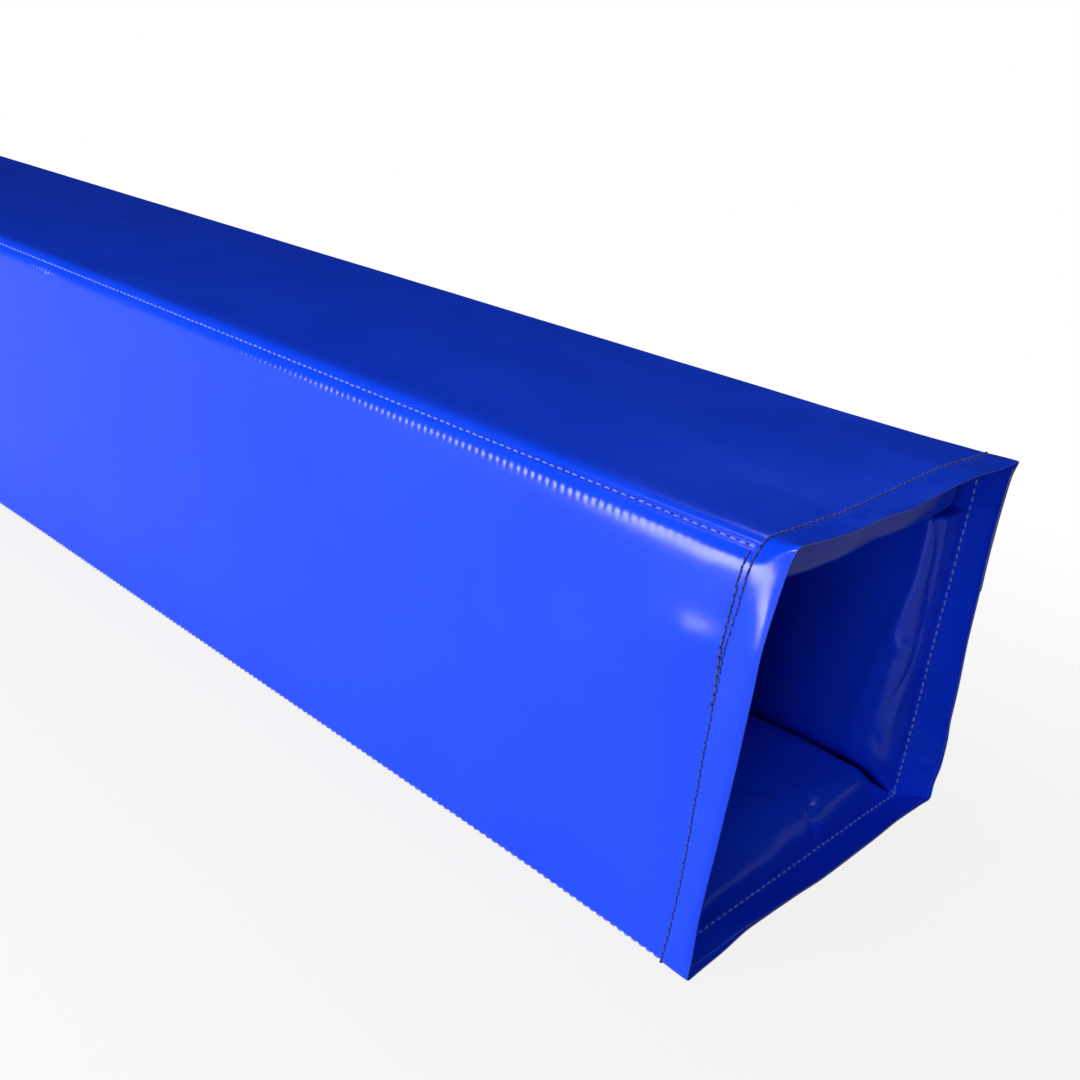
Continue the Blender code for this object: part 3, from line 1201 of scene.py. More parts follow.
@dataclass
class CoverPanel:
    """One panel's flat stretch of the cover, between its two folds."""

    face: Face
    cover: Cover
    finishes: Finishes

    @property
    def ends(self) -> tuple[float, float]:
        """s at the stretch's two long edges.

        Returns:
            The lower s and the higher.
        """
        low = self.face.centre - HALF + SIZES.corner_span
        high = self.face.centre + HALF - SIZES.corner_span
        if self.face is Face.TOP:
            low = SIZES.corner_span - SIZES.flap_reach
        if self.face is Face.BACK:
            high = self.face.centre + HALF - SIZES.corner
        return low, high

    def build(self) -> Piece:
        """Makes the sheet, carried by its panel in place of the CAD skin.

        Returns:
            The new piece.
        """
        fine = SIZES.stitch_line - 0.09
        x = runs(
            (-HALF_LENGTH, -fine, 0.0016),
            (-fine, 0.2, 0.012),
            (0.2, fine, 0.006),
            (fine, HALF_LENGTH, 0.0013),
        )
        low, high = self.ends
        s = runs((low, high, 0.0022))
        places = np.stack(np.meshgrid(x, s, indexing="ij"), -1)
        if self.face is Face.BACK:
            places[..., 1] += self.cover.raised(places[..., 0], places[..., 1] - self.face.centre)
        points = self.cover.point(places[..., 0], places[..., 1])
        side = self.face.turn(0.0, -1.0)
        name = f"{self.face.name.lower()}_cover"
        piece = sheet_object(name, points, (0, *side), places)
        thickened(piece, SIZES.sheet, [self.finishes.cover, self.finishes.edge])
        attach(piece, self.face.body)
        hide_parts(f"{self.face.name.lower()}_outer_skin")
        return piece


@dataclass
class CoverFold:
    """The cover's rounded stretch over one sewn fold."""

    before: Face
    cover: Cover
    finishes: Finishes

    @property
    def after(self) -> Face:
        """The panel that s reaches after the fold."""
        return Face(self.before.value + 1)

    @property
    def name(self) -> str:
        """What the fold is called, by its two panels."""
        return f"{self.before.name.lower()}_{self.after.name.lower()}_fold"

    def bent(self, piece: Piece) -> None:
        """Bakes a piece's place into its mesh; the piece rides on no panel.

        Args:
            piece: A piece that crosses the fold.
        """
        middle = np.array(self.before.place(HALF - SIZES.corner / 2, SIZES.corner / 2))
        before = np.array(self.before.turn(-1.0, -1.0)) * SIZES.corner / 6
        self.before.body
        self.after.body
        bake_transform(piece)

    def build(self) -> Piece:
        """Makes the sheet.

        Returns:
            The new piece.
        """
        x = runs((-HALF_LENGTH, 0.2, 0.0016), (0.2, HALF_LENGTH, 0.0008))
        edge = self.before.centre + HALF
        span = SIZES.corner_span
        s = runs(
            (edge - span, edge - 0.004, 0.0018),
            (edge - 0.004, edge + 0.004, 0.0008),
            (edge + 0.004, edge + span, 0.0018),
        )
        places = np.stack(np.meshgrid(x, s, indexing="ij"), -1)
        points = self.cover.point(places[..., 0], places[..., 1])
        side = np.array(self.before.turn(1.0, -1.0))
        piece = sheet_object(self.name, points, (0, *side), places)
        thickened(piece, SIZES.sheet, [self.finishes.cover, self.finishes.edge])
        self.bent(piece)
        return piece


@dataclass(frozen=True)
class PocketEnd:
    """Shape of a liner pocket's end wall.

    run is how far the edge takes to turn from the wall to the face, and squareness how boxy the
    turn is; both are given at equal steps across the panel. gathers is the height of the small
    folds that the stitches draw in. short is how far the liner's hem ends short of the cover's,
    at equal steps across. Lengths are in millimetres.
    """

    run: tuple = (12.0,)
    squareness: tuple = (3.2,)
    foot: float = 2.2
    gathers: float = 0.9
    creases: tuple = ()
    short: tuple = (0.8,)

    def at(self, values: tuple, share: np.ndarray) -> np.ndarray:
        """A listed value at each share of the way across."""
        return np.interp(share, np.linspace(0, 1, len(values)), values)


NEAR_POCKETS = {
    Face.TOP: PocketEnd(run=(9, 8, 8, 8), squareness=(6.5,), gathers=0.18, short=(1.2, 0.8, 0.8)),
    Face.FRONT: PocketEnd(run=(14, 12, 13), squareness=(3.2,), short=(0.6,)),
    Face.BOTTOM: PocketEnd(
        run=(40, 38, 30, 24, 20, 17),
        squareness=(2.2, 2.2, 2.6, 3),
        gathers=0.6,
        creases=(
            Crease((26, 4), (19, 20), 2.4, 2.6),
            Crease((19, 20), (33, 38), 2.6, 3.0),
            Crease((33, 38), (60, 60), 1.4, 5.0),
            Crease((12, 26), (-60, 27), -1.2, 5.0),
            Crease((34, 26), (78, 25), -2.2, 6.5),
            Crease((20, 34), (-16, 75), 1.3, 6.0),
            Crease((-93, 6), (-83, 20), 2.2, 3.0),
            Crease((-83, 20), (-92, 36), 2.0, 3.5),
            Crease((-80, 30), (-30, 90), -0.8, 9.0),
        ),
        short=(6.5, 4, 1.2, 0.6, 0.6, 0.6, 0.6, 0.8, 3.5),
    ),
    Face.BACK: PocketEnd(
        run=(16, 13, 12, 10, 8, 7),
        squareness=(3.0, 3.4, 3.6, 4),
        gathers=0.5,
        creases=(
            Crease((84, 30), (59, 21), 1.6, 2.6),
            Crease((59, 21), (14, 13), 2.4, 3.4),
            Crease((14, 13), (-11, 16), 2.2, 3.0),
            Crease((84, 33), (39, 31), -1.2, 3.5),
            Crease((39, 31), (4, 36), -2.2, 4.5),
            Crease((2, 34), (-4, 20), -2.0, 4.5),
            Crease((-11, 16), (-58, 32), 1.7, 4.0),
            Crease((2, 38), (-60, 47), -1.2, 4.5),
            Crease((-62, 44), (-84, 40), -1.8, 4.0),
            Crease((-84, 40), (-90, 20), -1.6, 4.0),
            Crease((-60, 30), (-72, 24), 1.8, 4.0),
            Crease((80, 34), (90, 22), -1.4, 2.5),
            Crease((-38, -22), (-42, -12), -1.4, 3.2),
            Crease((-87, -22), (-84, -11), -1.4, 2.6),
        ),
        short=(2, 0.6, 0.6, 0.6, 0.6),
    ),
}
FAR_POCKETS = {
    Face.TOP: PocketEnd(run=(9, 11, 10), squareness=(4.5,), gathers=0.5),
    Face.FRONT: PocketEnd(
        run=(13, 15, 11),
        squareness=(3,),
        creases=(Crease((30, 8), (10, 34), 2.0, 4.0), Crease((-40, 10), (-70, 30), 1.6, 4.0)),
    ),
    Face.BOTTOM: PocketEnd(
        run=(22, 30, 26, 18),
        squareness=(2.4, 2.6),
        creases=(
            Crease((-30, 8), (-20, 30), 2.0, 4.0),
            Crease((-20, 30), (-50, 60), 1.4, 6.0),
            Crease((55, 10), (40, 32), 1.8, 4.0),
        ),
    ),
    Face.BACK: PocketEnd(
        run=(13, 12, 9),
        squareness=(3.2,),
        creases=(Crease((40, 12), (-5, 30), 2.0, 4.0), Crease((-5, 32), (-50, 26), -1.5, 5.0)),
    ),
}


# u where the padding ends and where the liner ends, on sides that don't meet a sewn fold
SQUARE_ENDS = {
    Face.TOP: (-0.09, SIZES.corner - SIZES.flap_reach + 0.0003),
    Face.BACK: (0.0767, HALF - SIZES.corner),
}


@dataclass
class InnerLiner:
    """One panel's liner: hem ply, upright end walls, crowned inner face and mitred sides."""

    face: Face
    cover: Cover
    finishes: Finishes
    near: PocketEnd
    far: PocketEnd
    inset: float = 0.0013
    shy: float = 0.0007
    softness: float = 0.0045
    pad_corner: float = 0.0025
    fine_from: float = 0.74
    settle_run: float = 0.08
    cut_strip: float = 0.012

    @staticmethod
    def edge(face: Face, sign: float) -> float:
        """u where a panel's liner ends, on the side that the sign names."""
        pad_end, lip_end = SQUARE_ENDS.get(face, (0.0, 0.0))
        return lip_end if pad_end * sign > 0 else sign * (HALF + 0.001)

    def folded_half(self) -> np.ndarray:
        """u, v, and s from the centre, out to a sewn fold.

        Returns:
            Three rows of values.
        """
        u = runs((0, 0.06, 0.003), (0.06, 0.0868, 0.0016), (0.0868, HALF - 0.0052, 0.002))
        face = SIZES.pad_depth + SIZES.crown * (1 - (u / SIZES.crown_reach) ** 2)
        mitre = HALF - self.shy - u
        soft = self.softness
        v = -soft * np.log(np.exp(-face / soft) + np.exp(-mitre / soft))
        v = np.maximum(v, self.inset)
        edge = HALF - SIZES.corner_span
        spread_out = edge + (u - edge) / (u[-1] - edge) * (SIZES.corner_span - 0.0002)
        flat = np.where(u < edge, u, spread_out)
        return np.stack([u, v, flat])

    def square_half(self, pad_end: float, lip_end: float) -> np.ndarray:
        """u, v, and s from the centre, out to an edge that is cut square and has a lip.

        Args:
            pad_end: u where the padding ends.
            lip_end: u where the lip ends.

        Returns:
            Three rows of values.
        """
        radius = self.pad_corner
        u = runs((0, 0.06, 0.003), (0.06, pad_end - radius, 0.0016))
        face = SIZES.pad_depth + SIZES.crown * np.maximum(0, 1 - (u / SIZES.crown_reach) ** 2)
        turn = np.linspace(0, math.pi / 2, 8)[1:]
        top = face[-1]
        arc_u = pad_end - radius + radius * np.sin(turn)
        arc_v = top - radius + radius * np.cos(turn)
        wall_v = runs((top - radius, self.inset, 0.002))[1:]
        lip_u = runs((pad_end, lip_end, 0.002))[1:]
        full_u = np.concatenate([u, arc_u, pad_end + 0 * wall_v, lip_u])
        full_v = np.concatenate([face, arc_v, wall_v, self.inset + 0 * lip_u])
        bunched = np.linspace(pad_end - radius, pad_end, len(turn) + len(wall_v) + 1)[1:]
        flat = np.concatenate([u, bunched, lip_u])
        return np.stack([full_u, full_v, flat])

    def half(self, sign: float) -> np.ndarray:
        """The half section on one side of the panel's middle.

        Args:
            sign: -1 for the side with the lower s, or 1.

        Returns:
            u, v, and s from the centre, as rows.
        """
        pad_end, lip_end = SQUARE_ENDS.get(self.face, (0.0, 0.0))
        if pad_end * sign > 0:
            return self.square_half(abs(pad_end), abs(lip_end))
        return self.folded_half()

    def section(self) -> np.ndarray:
        """u, v, and s from the centre, for the whole way across.

        Returns:
            Three rows of values.
        """
        low, high = self.half(-1.0), self.half(1.0)
        low = low[:, :0:-1] * np.array([[-1], [1], [-1]])
        return np.concatenate([low, high], 1)

    def end_grid(self, end: PocketEnd, sign: float) -> tuple[np.ndarray, np.ndarray]:
        """Half of the liner, from one hem's edge to the middle of the pad.

        Args:
            end: The pocket end's shape.
            sign: 1 for the end at +X and -1 for the other.

        Returns:
            Points before the ends have settled, and the places for the UV map.
        """
        u, v, flat = self.section()
        share = (u - u[0]) / (u[-1] - u[0])
        run = end.at(end.run, share) * MM
        power = 2 / end.at(end.squareness, share)
        foot = SIZES.stitch_line - end.foot * MM
        hem = runs((HALF_LENGTH, foot, 0.0013))[:-1, None] + 0 * u
        hem = foot + (hem - foot) * (1 - end.at(end.short, share) * MM / (HALF_LENGTH - foot))
        turn = np.linspace(0, math.pi / 2, 30)[:, None]
        pocket = foot - run * (1 - np.maximum(np.cos(turn), 0) ** power)
        risen = np.sin(turn) ** power
        first = foot - 0.012
        inside = runs((first, self.fine_from, 0.0021), (self.fine_from, 0, 0.012))[1:, None]
        shift = (pocket[-1] - first) * (1 - eased((first - inside) / self.settle_run))
        inside = inside + shift
        x = np.concatenate([hem, pocket, inside])
        full = np.concatenate([0 * hem, risen + 0 * u, 1 + 0 * inside])
        x = x * sign
        spread = flat + 0 * x
        if self.face is Face.BACK:
            spread = spread + self.cover.raised(x, flat)
        laid = self.cover.straight(x, self.face.centre + spread, self.inset)
        y, z = self.face.place(u + 0 * x, v + 0 * x)
        filled = np.stack([x, y, z], -1)
        points = laid + (filled - laid) * full[..., None]
        step = np.linalg.norm(np.diff(points, axis=0), axis=-1)
        length = np.concatenate([np.zeros((1, len(u))), np.cumsum(step, 0)])
        length -= length[len(hem)]
        normal = np.cross(np.gradient(points, axis=0), np.gradient(points, axis=1))
        normal /= np.linalg.norm(normal, axis=-1, keepdims=True) + 1e-12
        inward = np.array(self.face.turn(0.0, 1.0))
        normal *= np.sign(normal[-1, len(u) // 2, 1:] @ inward)
        points = points + normal * self.relief(end, sign, u, length)[..., None]
        return points, np.stack([sign * (HALF_LENGTH - length), self.face.centre + u + 0 * x], -1)

    def relief(
        self, end: PocketEnd, sign: float, u: np.ndarray, length: np.ndarray
    ) -> np.ndarray:
        """Gathers, creases and unevenness of the liner, positive towards the post.

        Args:
            end: The pocket end's shape.
            sign: 1 for the end at +X and -1 for the other.
            u: Places across the panel.
            length: Places along the sheet, inwards from the stitches.

        Returns:
            Heights in metres.
        """
        seed = 40 + 4 * self.face.value + int(sign > 0)
        across = u + 0 * length
        inward = np.clip(length, 0, None)
        rise = eased(inward / 0.006)
        gathers = soft_field(0.3 * inward, across, 0.028, seed) * np.exp(-inward / 0.04)
        broad = 0.5 * soft_field(inward, across, 0.07, seed + 50) * (0.4 + np.exp(-inward / 0.08))
        height = (end.gathers * gathers + broad) * MM * rise
        free = np.maximum(rise, eased((-0.002 - length) / 0.006))
        for crease in end.creases:
            height = height + crease.height(across, length) * free
        edge = np.minimum(across - u[0], u[-1] - across)
        return height * eased(edge / 0.012)

    def build(self) -> Piece:
        """Makes the liner, carried by its panel in place of the CAD liner.

        Returns:
            The new piece.
        """
        near, near_places = self.end_grid(self.near, 1.0)
        far, far_places = self.end_grid(self.far, -1.0)
        points = np.concatenate([near, far[-2::-1]])
        places = np.concatenate([near_places, far_places[-2::-1]])
        points = self.cover.lay.moved(points)
        side = self.face.turn(0.0, 1.0)
        name = f"{self.face.name.lower()}_liner"
        piece = sheet_object(name, points, (0, *side), places)
        thickened(piece, SIZES.sheet, [self.finishes.liner, self.finishes.edge])
        for side_face in piece.data.polygons:
            if abs(side_face.center.x) < HALF_LENGTH - self.cut_strip:
                side_face.material_index = 0
        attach(piece, self.face.body)
        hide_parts(f"{self.face.name.lower()}_inner_liner")
        return piece


@dataclass
class FoamSlab:
    """The foam in one pocket, pressed a little smaller than its CAD slab by the sheets."""

    liner: InnerLiner
    pressed: float = 0.0024
    room: float = 0.0018
    crease_room: float = 0.0034
    least_depth: float = 0.0034
    corner_room: float = 0.0018
    end_room: float = 0.0035

    def held(self, points: np.ndarray) -> np.ndarray:
        """The slab's points, kept inside the pocket that its liner leaves.

        Args:
            points: The pressed slab, before the pad's ends have settled.

        Returns:
            The moved points.
        """
        liner = self.liner
        x = points[:, 0]
        u, v = liner.face.local(points[:, 1], points[:, 2])
        across, depth, _ = liner.section()
        share = (u - across[0]) / (across[-1] - across[0])
        full = np.interp(u, across, depth)
        along = np.abs(x)
        for sign, end in ((1.0, liner.near), (-1.0, liner.far)):
            here = x * sign > 0
            foot = SIZES.stitch_line - end.foot * MM
            along = np.where(here, np.minimum(along, foot - self.end_room), along)
            left = np.clip(1 - (foot - along) / (end.at(end.run, share) * MM), 0, 1)
            power = end.at(end.squareness, share)
            risen = (1 - left**power) ** (1 / power)
            room = self.room + self.crease_room * (1 - eased((foot - along - 0.09) / 0.05))
            most = liner.inset + (full - liner.inset) * risen - room
            v = np.where(here, np.minimum(v, np.maximum(most, self.least_depth)), v)
        outer = eased((np.abs(u) - HALF + 0.034) / 0.014) * (1 - eased((v - 0.006) / 0.01))
        u = u - np.sign(u) * self.corner_room * outer
        v = v + self.corner_room * outer
        y, z = liner.face.place(u, v)
        return np.stack([along * np.sign(x), y, z], -1)

    def build(self) -> Piece:
        """Makes the slab from its CAD solid, carried by its panel.

        Returns:
            The new piece.
        """
        face, finishes = self.liner.face, self.liner.finishes
        node = f"{face.name.lower()}_foam_slab"
        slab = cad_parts[node].copy()
        slab.data = slab.data.copy()
        slab.name = f"{face.name.lower()}_foam"
        slab.parent = None
        for key in list(slab.keys()):
            del slab[key]
        bpy.context.scene.collection.objects.link(slab)
        bpy.ops.object.select_all(action="DESELECT")
        bpy.context.view_layer.objects.active = slab
        slab.select_set(True)
        bpy.ops.object.mode_set(mode="EDIT")
        bpy.ops.mesh.select_all(action="SELECT")
        bpy.ops.mesh.remove_doubles(threshold=0.00005)
        bpy.ops.mesh.tris_convert_to_quads()
        bpy.ops.mesh.subdivide(number_cuts=3)
        bpy.ops.transform.shrink_fatten(value=-self.pressed)
        bpy.ops.object.mode_set(mode="OBJECT")
        slab.select_set(False)
        points = self.held(np.array([v.co for v in slab.data.vertices]))
        points = self.liner.cover.lay.moved(points)
        slab.data.vertices.foreach_set("co", points.reshape(-1).astype(np.float32))
        slab.data.materials.clear()
        slab.data.materials.append(finishes.foam)
        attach(slab, face.body)
        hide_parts(node)
        return slab


@dataclass
class ClosureFlap:
    """The flap: it carries on from the top, hangs over the back and ends in a turned hem."""

    cover: Cover
    finishes: Finishes
    hem: float = 0.008
    hem_radius: float = 0.0007

    def bent(self, piece: Piece) -> None:
        """Bakes a piece's place into its mesh; the piece rides on no panel.

        Args:
            piece: A piece that crosses from one to the other.
        """
        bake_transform(piece)

    def build(self) -> Piece:
        """Makes the flap, which bends where it leaves the top.

        Returns:
            The new piece.
        """
        fine = 0.79
        x = runs(
            (-HALF_LENGTH, -fine, 0.0016), (-fine, fine, 0.006), (fine, HALF_LENGTH, 0.0013)
        )
        radius = self.hem_radius
        low = -(SIZES.flap_reach + SIZES.flap_drop)
        shoulder = -SIZES.flap_reach - SIZES.corner_span
        turn = np.linspace(math.pi, 0, 9)
        inner = runs((low + self.hem, low + radius, 0.0015))[:-1]
        outer = runs(
            (low + radius, shoulder, 0.0018),
            (shoulder, SIZES.corner_span - SIZES.flap_reach, 0.0012),
        )[1:]
        s = np.concatenate([inner, low + radius * (1 - np.sin(turn)), outer])
        inset = np.concatenate([2 * radius + 0 * inner, radius * (1 - np.cos(turn)), 0 * outer])
        places = np.stack(np.meshgrid(x, s, indexing="ij"), -1)
        points = self.cover.point(places[..., 0], places[..., 1], inset + 0 * places[..., 0])
        piece = sheet_object("closure_flap_cover", points, (0, 1, 0), places)
        thickened(piece, SIZES.sheet, [self.finishes.cover, self.finishes.edge])
        self.bent(piece)
        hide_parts("closure_flap")
        return piece


@dataclass(frozen=True)
class TapePlace:
    """Where a tape is sewn on.

    floor is s at the floor on the side that carries it, inset the depth of its visible side under
    the cover's outer face, and side 1 where that faces away from the pad or -1 where it faces it.
    """

    name: str
    node: str
    body: str
    floor: float
    inset: float
    side: int
    margin: float = 0.0022

    @property
    def edges(self) -> tuple[float, float]:
        """s of its two long edges."""
        low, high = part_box(self.node)
        return self.floor + low.z, self.floor + high.z

    @property
    def rows(self) -> tuple[float, float]:
        """s of the two rows of stitches that hold it."""
        low, high = self.edges
        return low + self.margin, high - self.margin


LOOP_PLACE = TapePlace(
    "loop_tape", "back_loop_strip", "back_panel", Face.BACK.centre - HALF, -0.0013, 1
)
HOOK_PLACE = TapePlace(
    "hook_tape", "flap_hook_strip", "flap", -SIZES.flap_reach - SIDE, 0.0019, -1
)


@dataclass
class FasteningStrips:
    """Hook tape inside the flap and loop tape on the back panel, sewn along both edges."""

    cover: Cover
    finishes: Finishes
    end_margin: float = 0.026
    thickness: float = 0.0011

    def strip(self, place: TapePlace, finish: Material) -> Piece:
        """A band of tape that follows the sheet it is sewn to.

        Args:
            place: Where it is sewn on.
            finish: Its material.

        Returns:
            The new piece.
        """
        ends = HALF_LENGTH - self.end_margin
        x, s = runs((-ends, ends, 0.006)), runs((*place.edges, 0.0019))
        places = np.stack(np.meshgrid(x, s, indexing="ij"), -1)
        points = self.cover.point(places[..., 0], places[..., 1], place.inset)
        tape = sheet_object(place.name, points, (0, place.side, 0), places)
        thickened(tape, self.thickness, [finish])
        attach(tape, place.body)
        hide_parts(place.node)
        return tape

    def build(self) -> list:
        """Makes both strips.

        Returns:
            The loop tape and the hook tape.
        """
        return [
            self.strip(LOOP_PLACE, self.finishes.loop),
            self.strip(HOOK_PLACE, self.finishes.hook),
        ]


@dataclass(frozen=True)
class Stitch:
    """One lock stitch: an arched length of thread, and the needle hole that follows it, drawn as a
    flat dark disc of painted shade.
    """

    length: float = 0.0038
    thickness: float = 0.0011
    rise: float = 0.00036
    sink: float = 0.0003
    hole: tuple = (0.0019, 0.0012)
    hole_rim: float = 0.00007
    hole_middle: float = 0.00002

    def build(self) -> tuple[np.ndarray, list, np.ndarray]:
        """Models the stitch, lying along X with +Z out of the sheet.

        Returns:
            Points, faces, and the number of each face's finish: 0 thread, 1 the hole's painted shade.
        """
        bpy.ops.object.select_all(action="DESELECT")
        bpy.ops.mesh.primitive_uv_sphere_add(
            segments=6, ring_count=6, radius=0.5, rotation=(0, math.pi / 2, 0)
        )
        thread = bpy.context.object
        bpy.ops.object.transform_apply(location=False, rotation=True, scale=False)
        bpy.ops.object.mode_set(mode="EDIT")
        bpy.ops.mesh.select_all(action="SELECT")
        bpy.ops.transform.resize(value=(self.length, self.thickness, self.thickness))
        bpy.ops.mesh.select_all(action="DESELECT")
        place = (SIZES.stitch_pitch / 2, 0, 0)
        # a flat disc stands for the needle hole; its dark finish is painted shade
        bpy.ops.mesh.primitive_circle_add(
            vertices=8, radius=0.5, fill_type="TRIFAN", location=place
        )
        bpy.ops.transform.resize(value=(*self.hole, 1), center_override=place)
        bpy.ops.object.mode_set(mode="OBJECT")
        points = np.array([v.co for v in thread.data.vertices])
        faces = [tuple(f.vertices) for f in thread.data.polygons]
        bpy.data.objects.remove(thread)
        in_hole = np.array([np.ptp(points[list(f), 2]) < 1e-7 for f in faces])
        run = np.abs(points[:, 0]) / (self.length / 2)
        arched = run < 1.001
        points[arched, 2] += self.rise - (self.rise + self.sink) * run[arched] ** 4
        points[~arched, 2] = self.hole_rim
        middle = np.linalg.norm(points[:, :2] - place[:2], axis=1) < 1e-6
        points[middle, 2] = self.hole_middle
        return points, faces, in_hole.astype(np.int32)


class Thread(Enum):
    """The thread's two finishes, by their number on a piece: its own dark colour, and a copy painted
    lighter as a painted highlight where it catches light; 1 is the needle hole's painted shade.
    """

    HEM = 0
    FOLD = 2


@dataclass
class Stitching:
    """Rows of stitches on the cover, the liner, the flap and the tapes."""

    cover: Cover
    finishes: Finishes
    stitch: Stitch = Stitch()
    drift: float = 0.00009
    twist: float = math.radians(2.5)

    def __post_init__(self) -> None:
        """Models the one stitch that is copied."""
        self.model = self.stitch.build()
        self.chance = np.random.default_rng(77)

    def along(self, s: float, low: float, high: float) -> np.ndarray:
        """Places of a row that runs along the pad at one s."""
        x = np.arange(low, high, SIZES.stitch_pitch)
        return np.stack([x, np.full(x.shape, s), np.ones(x.shape), np.zeros(x.shape)], -1)

    def across(self, x: float, low: float, high: float) -> np.ndarray:
        """Places of a row that runs round the pad at one x, on the same steps for every piece.

        Args:
            x: Place of the row along the pad.
            low: s where it starts.
            high: s where it ends.

        Returns:
            Rows of x, s and direction.
        """
        pitch = SIZES.stitch_pitch
        s = np.arange(math.ceil(low / pitch), math.ceil(high / pitch)) * pitch
        return np.stack([np.full(s.shape, x), s, np.zeros(s.shape), np.ones(s.shape)], -1)

    def row(
        self,
        places: np.ndarray,
        inset: float = 0.0,
        side: float = 1.0,
        thread: Thread = Thread.HEM,
    ) -> tuple[np.ndarray, Thread]:
        """Copies the stitch to each place.

        Args:
            places: Rows of x, s and the row's direction in x and s.
            inset: Depth of the sheet's visible side under the cover's outer face.
            side: 1 to show on the outside, -1 on the inside.
            thread: The thread that it is sewn with.

        Returns:
            Points, stitch by stitch, and the thread.
        """
        count = len(places)
        x, s, way_x, way_s = places.T
        drift = self.chance.normal(0, self.drift, (count, 2))
        x, s = x + drift[:, 0], s + drift[:, 1]
        step = 0.0008
        centre = self.cover.point(x, s, inset)
        ahead = self.cover.point(x + way_x * step, s + way_s * step, inset)
        back = self.cover.point(x - way_x * step, s - way_s * step, inset)
        along = ahead - back
        along /= np.linalg.norm(along, axis=-1, keepdims=True)
        out = self.cover.outward(x, s) * side
        across = np.cross(out, along)
        turn = self.chance.normal(0, self.twist, (count, 1))
        along, across = (
            along * np.cos(turn) + across * np.sin(turn),
            across * np.cos(turn) - along * np.sin(turn),
        )
        points = self.model[0]
        placed = (
            centre[:, None]
            + points[None, :, :1] * along[:, None]
            + points[None, :, 1:2] * across[:, None]
            + points[None, :, 2:] * out[:, None]
        )
        return placed, thread

    def piece(self, name: str, rows: list, slot: str = "cover_vinyl") -> Piece:
        """One object of several rows.

        Args:
            name: The piece's name.
            rows: What row() gave for each.
            slot: The slot of the sheet that they are sewn in; not used.

        Returns:
            The new piece, which doesn't ride on anything yet.
        """
        points = np.concatenate([placed for placed, _ in rows])
        count, each = points.shape[:2]
        in_hole = self.model[2] == 1
        finishes = [np.where(in_hole, 1, thread.value) for placed, thread in rows for _ in placed]
        faces = [
            tuple(i + start for i in face)
            for start in range(0, count * each, each)
            for face in self.model[1]
        ]
        mesh = bpy.data.meshes.new(name)
        mesh.from_pydata(points.reshape(-1, 3).tolist(), [], faces)
        for finish in (self.finishes.hem_thread, self.finishes.hole, self.finishes.thread_painted_lighter):
            mesh.materials.append(finish)
        mesh.polygons.foreach_set("material_index", np.concatenate(finishes).astype(np.int32))
        mesh.shade_smooth()
        obj = bpy.data.objects.new(name, mesh)
        bpy.context.scene.collection.objects.link(obj)
        return obj

    def fold_piece(self, fold: CoverFold) -> Piece:
        """The row on one fold and the hem stitches in its corners.

        Args:
            fold: The fold.

        Returns:
            The new piece.
        """
        edge, span = fold.before.centre + HALF, SIZES.corner_span
        end = SIZES.stitch_line
        sewn = self.along(edge, SIZES.fold_row_start, end - 0.0015)
        # the fold row takes the thread's copy painted lighter, as a painted highlight
        rows = [self.row(sewn, thread=Thread.FOLD)]
        for sign in (-1, 1):
            rows.append(self.row(self.across(sign * end, edge - span, edge + span)))
        if fold.before is Face.TOP:
            rows.append(self.row(self.across(end - 0.0033, edge + 0.001, edge + span)))
        piece = self.piece(f"{fold.name}_stitches", rows)
        fold.bent(piece)
        return piece

    def panel_piece(self, panel: CoverPanel) -> Piece:
        """The hem rows on one panel, outside on the cover and inside on the liner.

        Args:
            panel: The panel.

        Returns:
            The new piece.
        """
        low, high = panel.ends
        centre = panel.face.centre
        end = SIZES.stitch_line
        first, last = (centre + InnerLiner.edge(panel.face, sign) for sign in (-1, 1))
        rows = []
        for sign in (-1, 1):
            rows.append(self.row(self.across(sign * end, low, high)))
            within = self.across(sign * end, first + 0.003, last - 0.003)
            # the inside rows take the thread's copy painted lighter, as a painted highlight
            rows.append(self.row(within, InnerLiner.inset, -1, Thread.FOLD))
        if panel.face is Face.FRONT:
            stop = centre - 0.03
            second = self.across(end - 0.0028, low, stop)
            second[:, 0] += 0.0022 * eased((second[:, 1] - low) / (stop - low))
            rows.append(self.row(second))
        piece = self.piece(f"{panel.face.name.lower()}_hem_stitches", rows)
        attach(piece, panel.face.body)
        return piece

    def flap_piece(self, flap: ClosureFlap) -> Piece:
        """The flap's end hems, its turned hem and the two rows that hold its hook tape.

        Args:
            flap: The flap.

        Returns:
            The new piece.
        """
        bottom = -(SIZES.flap_reach + SIZES.flap_drop)
        corner = -SIZES.flap_reach + SIZES.corner_span
        end = SIZES.stitch_line
        rows = []
        for sign in (-1, 1):
            hem = self.across(sign * end, bottom + 0.004, corner)
            rows.append(self.row(hem[np.abs(hem[:, 1] + SIZES.flap_reach) > 0.003]))
        rows.append(self.row(self.along(bottom + flap.hem - 0.0015, -end + 0.004, end - 0.002)))
        rows += [self.row(self.tape_row(s)) for s in HOOK_PLACE.rows]
        piece = self.piece("closure_flap_stitches", rows)
        flap.bent(piece)
        return piece

    def tape_row(self, s: float) -> np.ndarray:
        """Places of one row that holds a tape."""
        return self.along(s, -SIZES.stitch_line + 0.01, SIZES.stitch_line - 0.008)

    def tape_piece(self, place: TapePlace) -> Piece:
        """The rows along both edges of a tape.

        Args:
            place: Where the tape is sewn on.

        Returns:
            The new piece.
        """
        rows = [self.row(self.tape_row(s), place.inset, place.side) for s in place.rows]
        piece = self.piece(f"{place.name}_stitches", rows, "fastening_tape")
        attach(piece, place.body)
        return piece


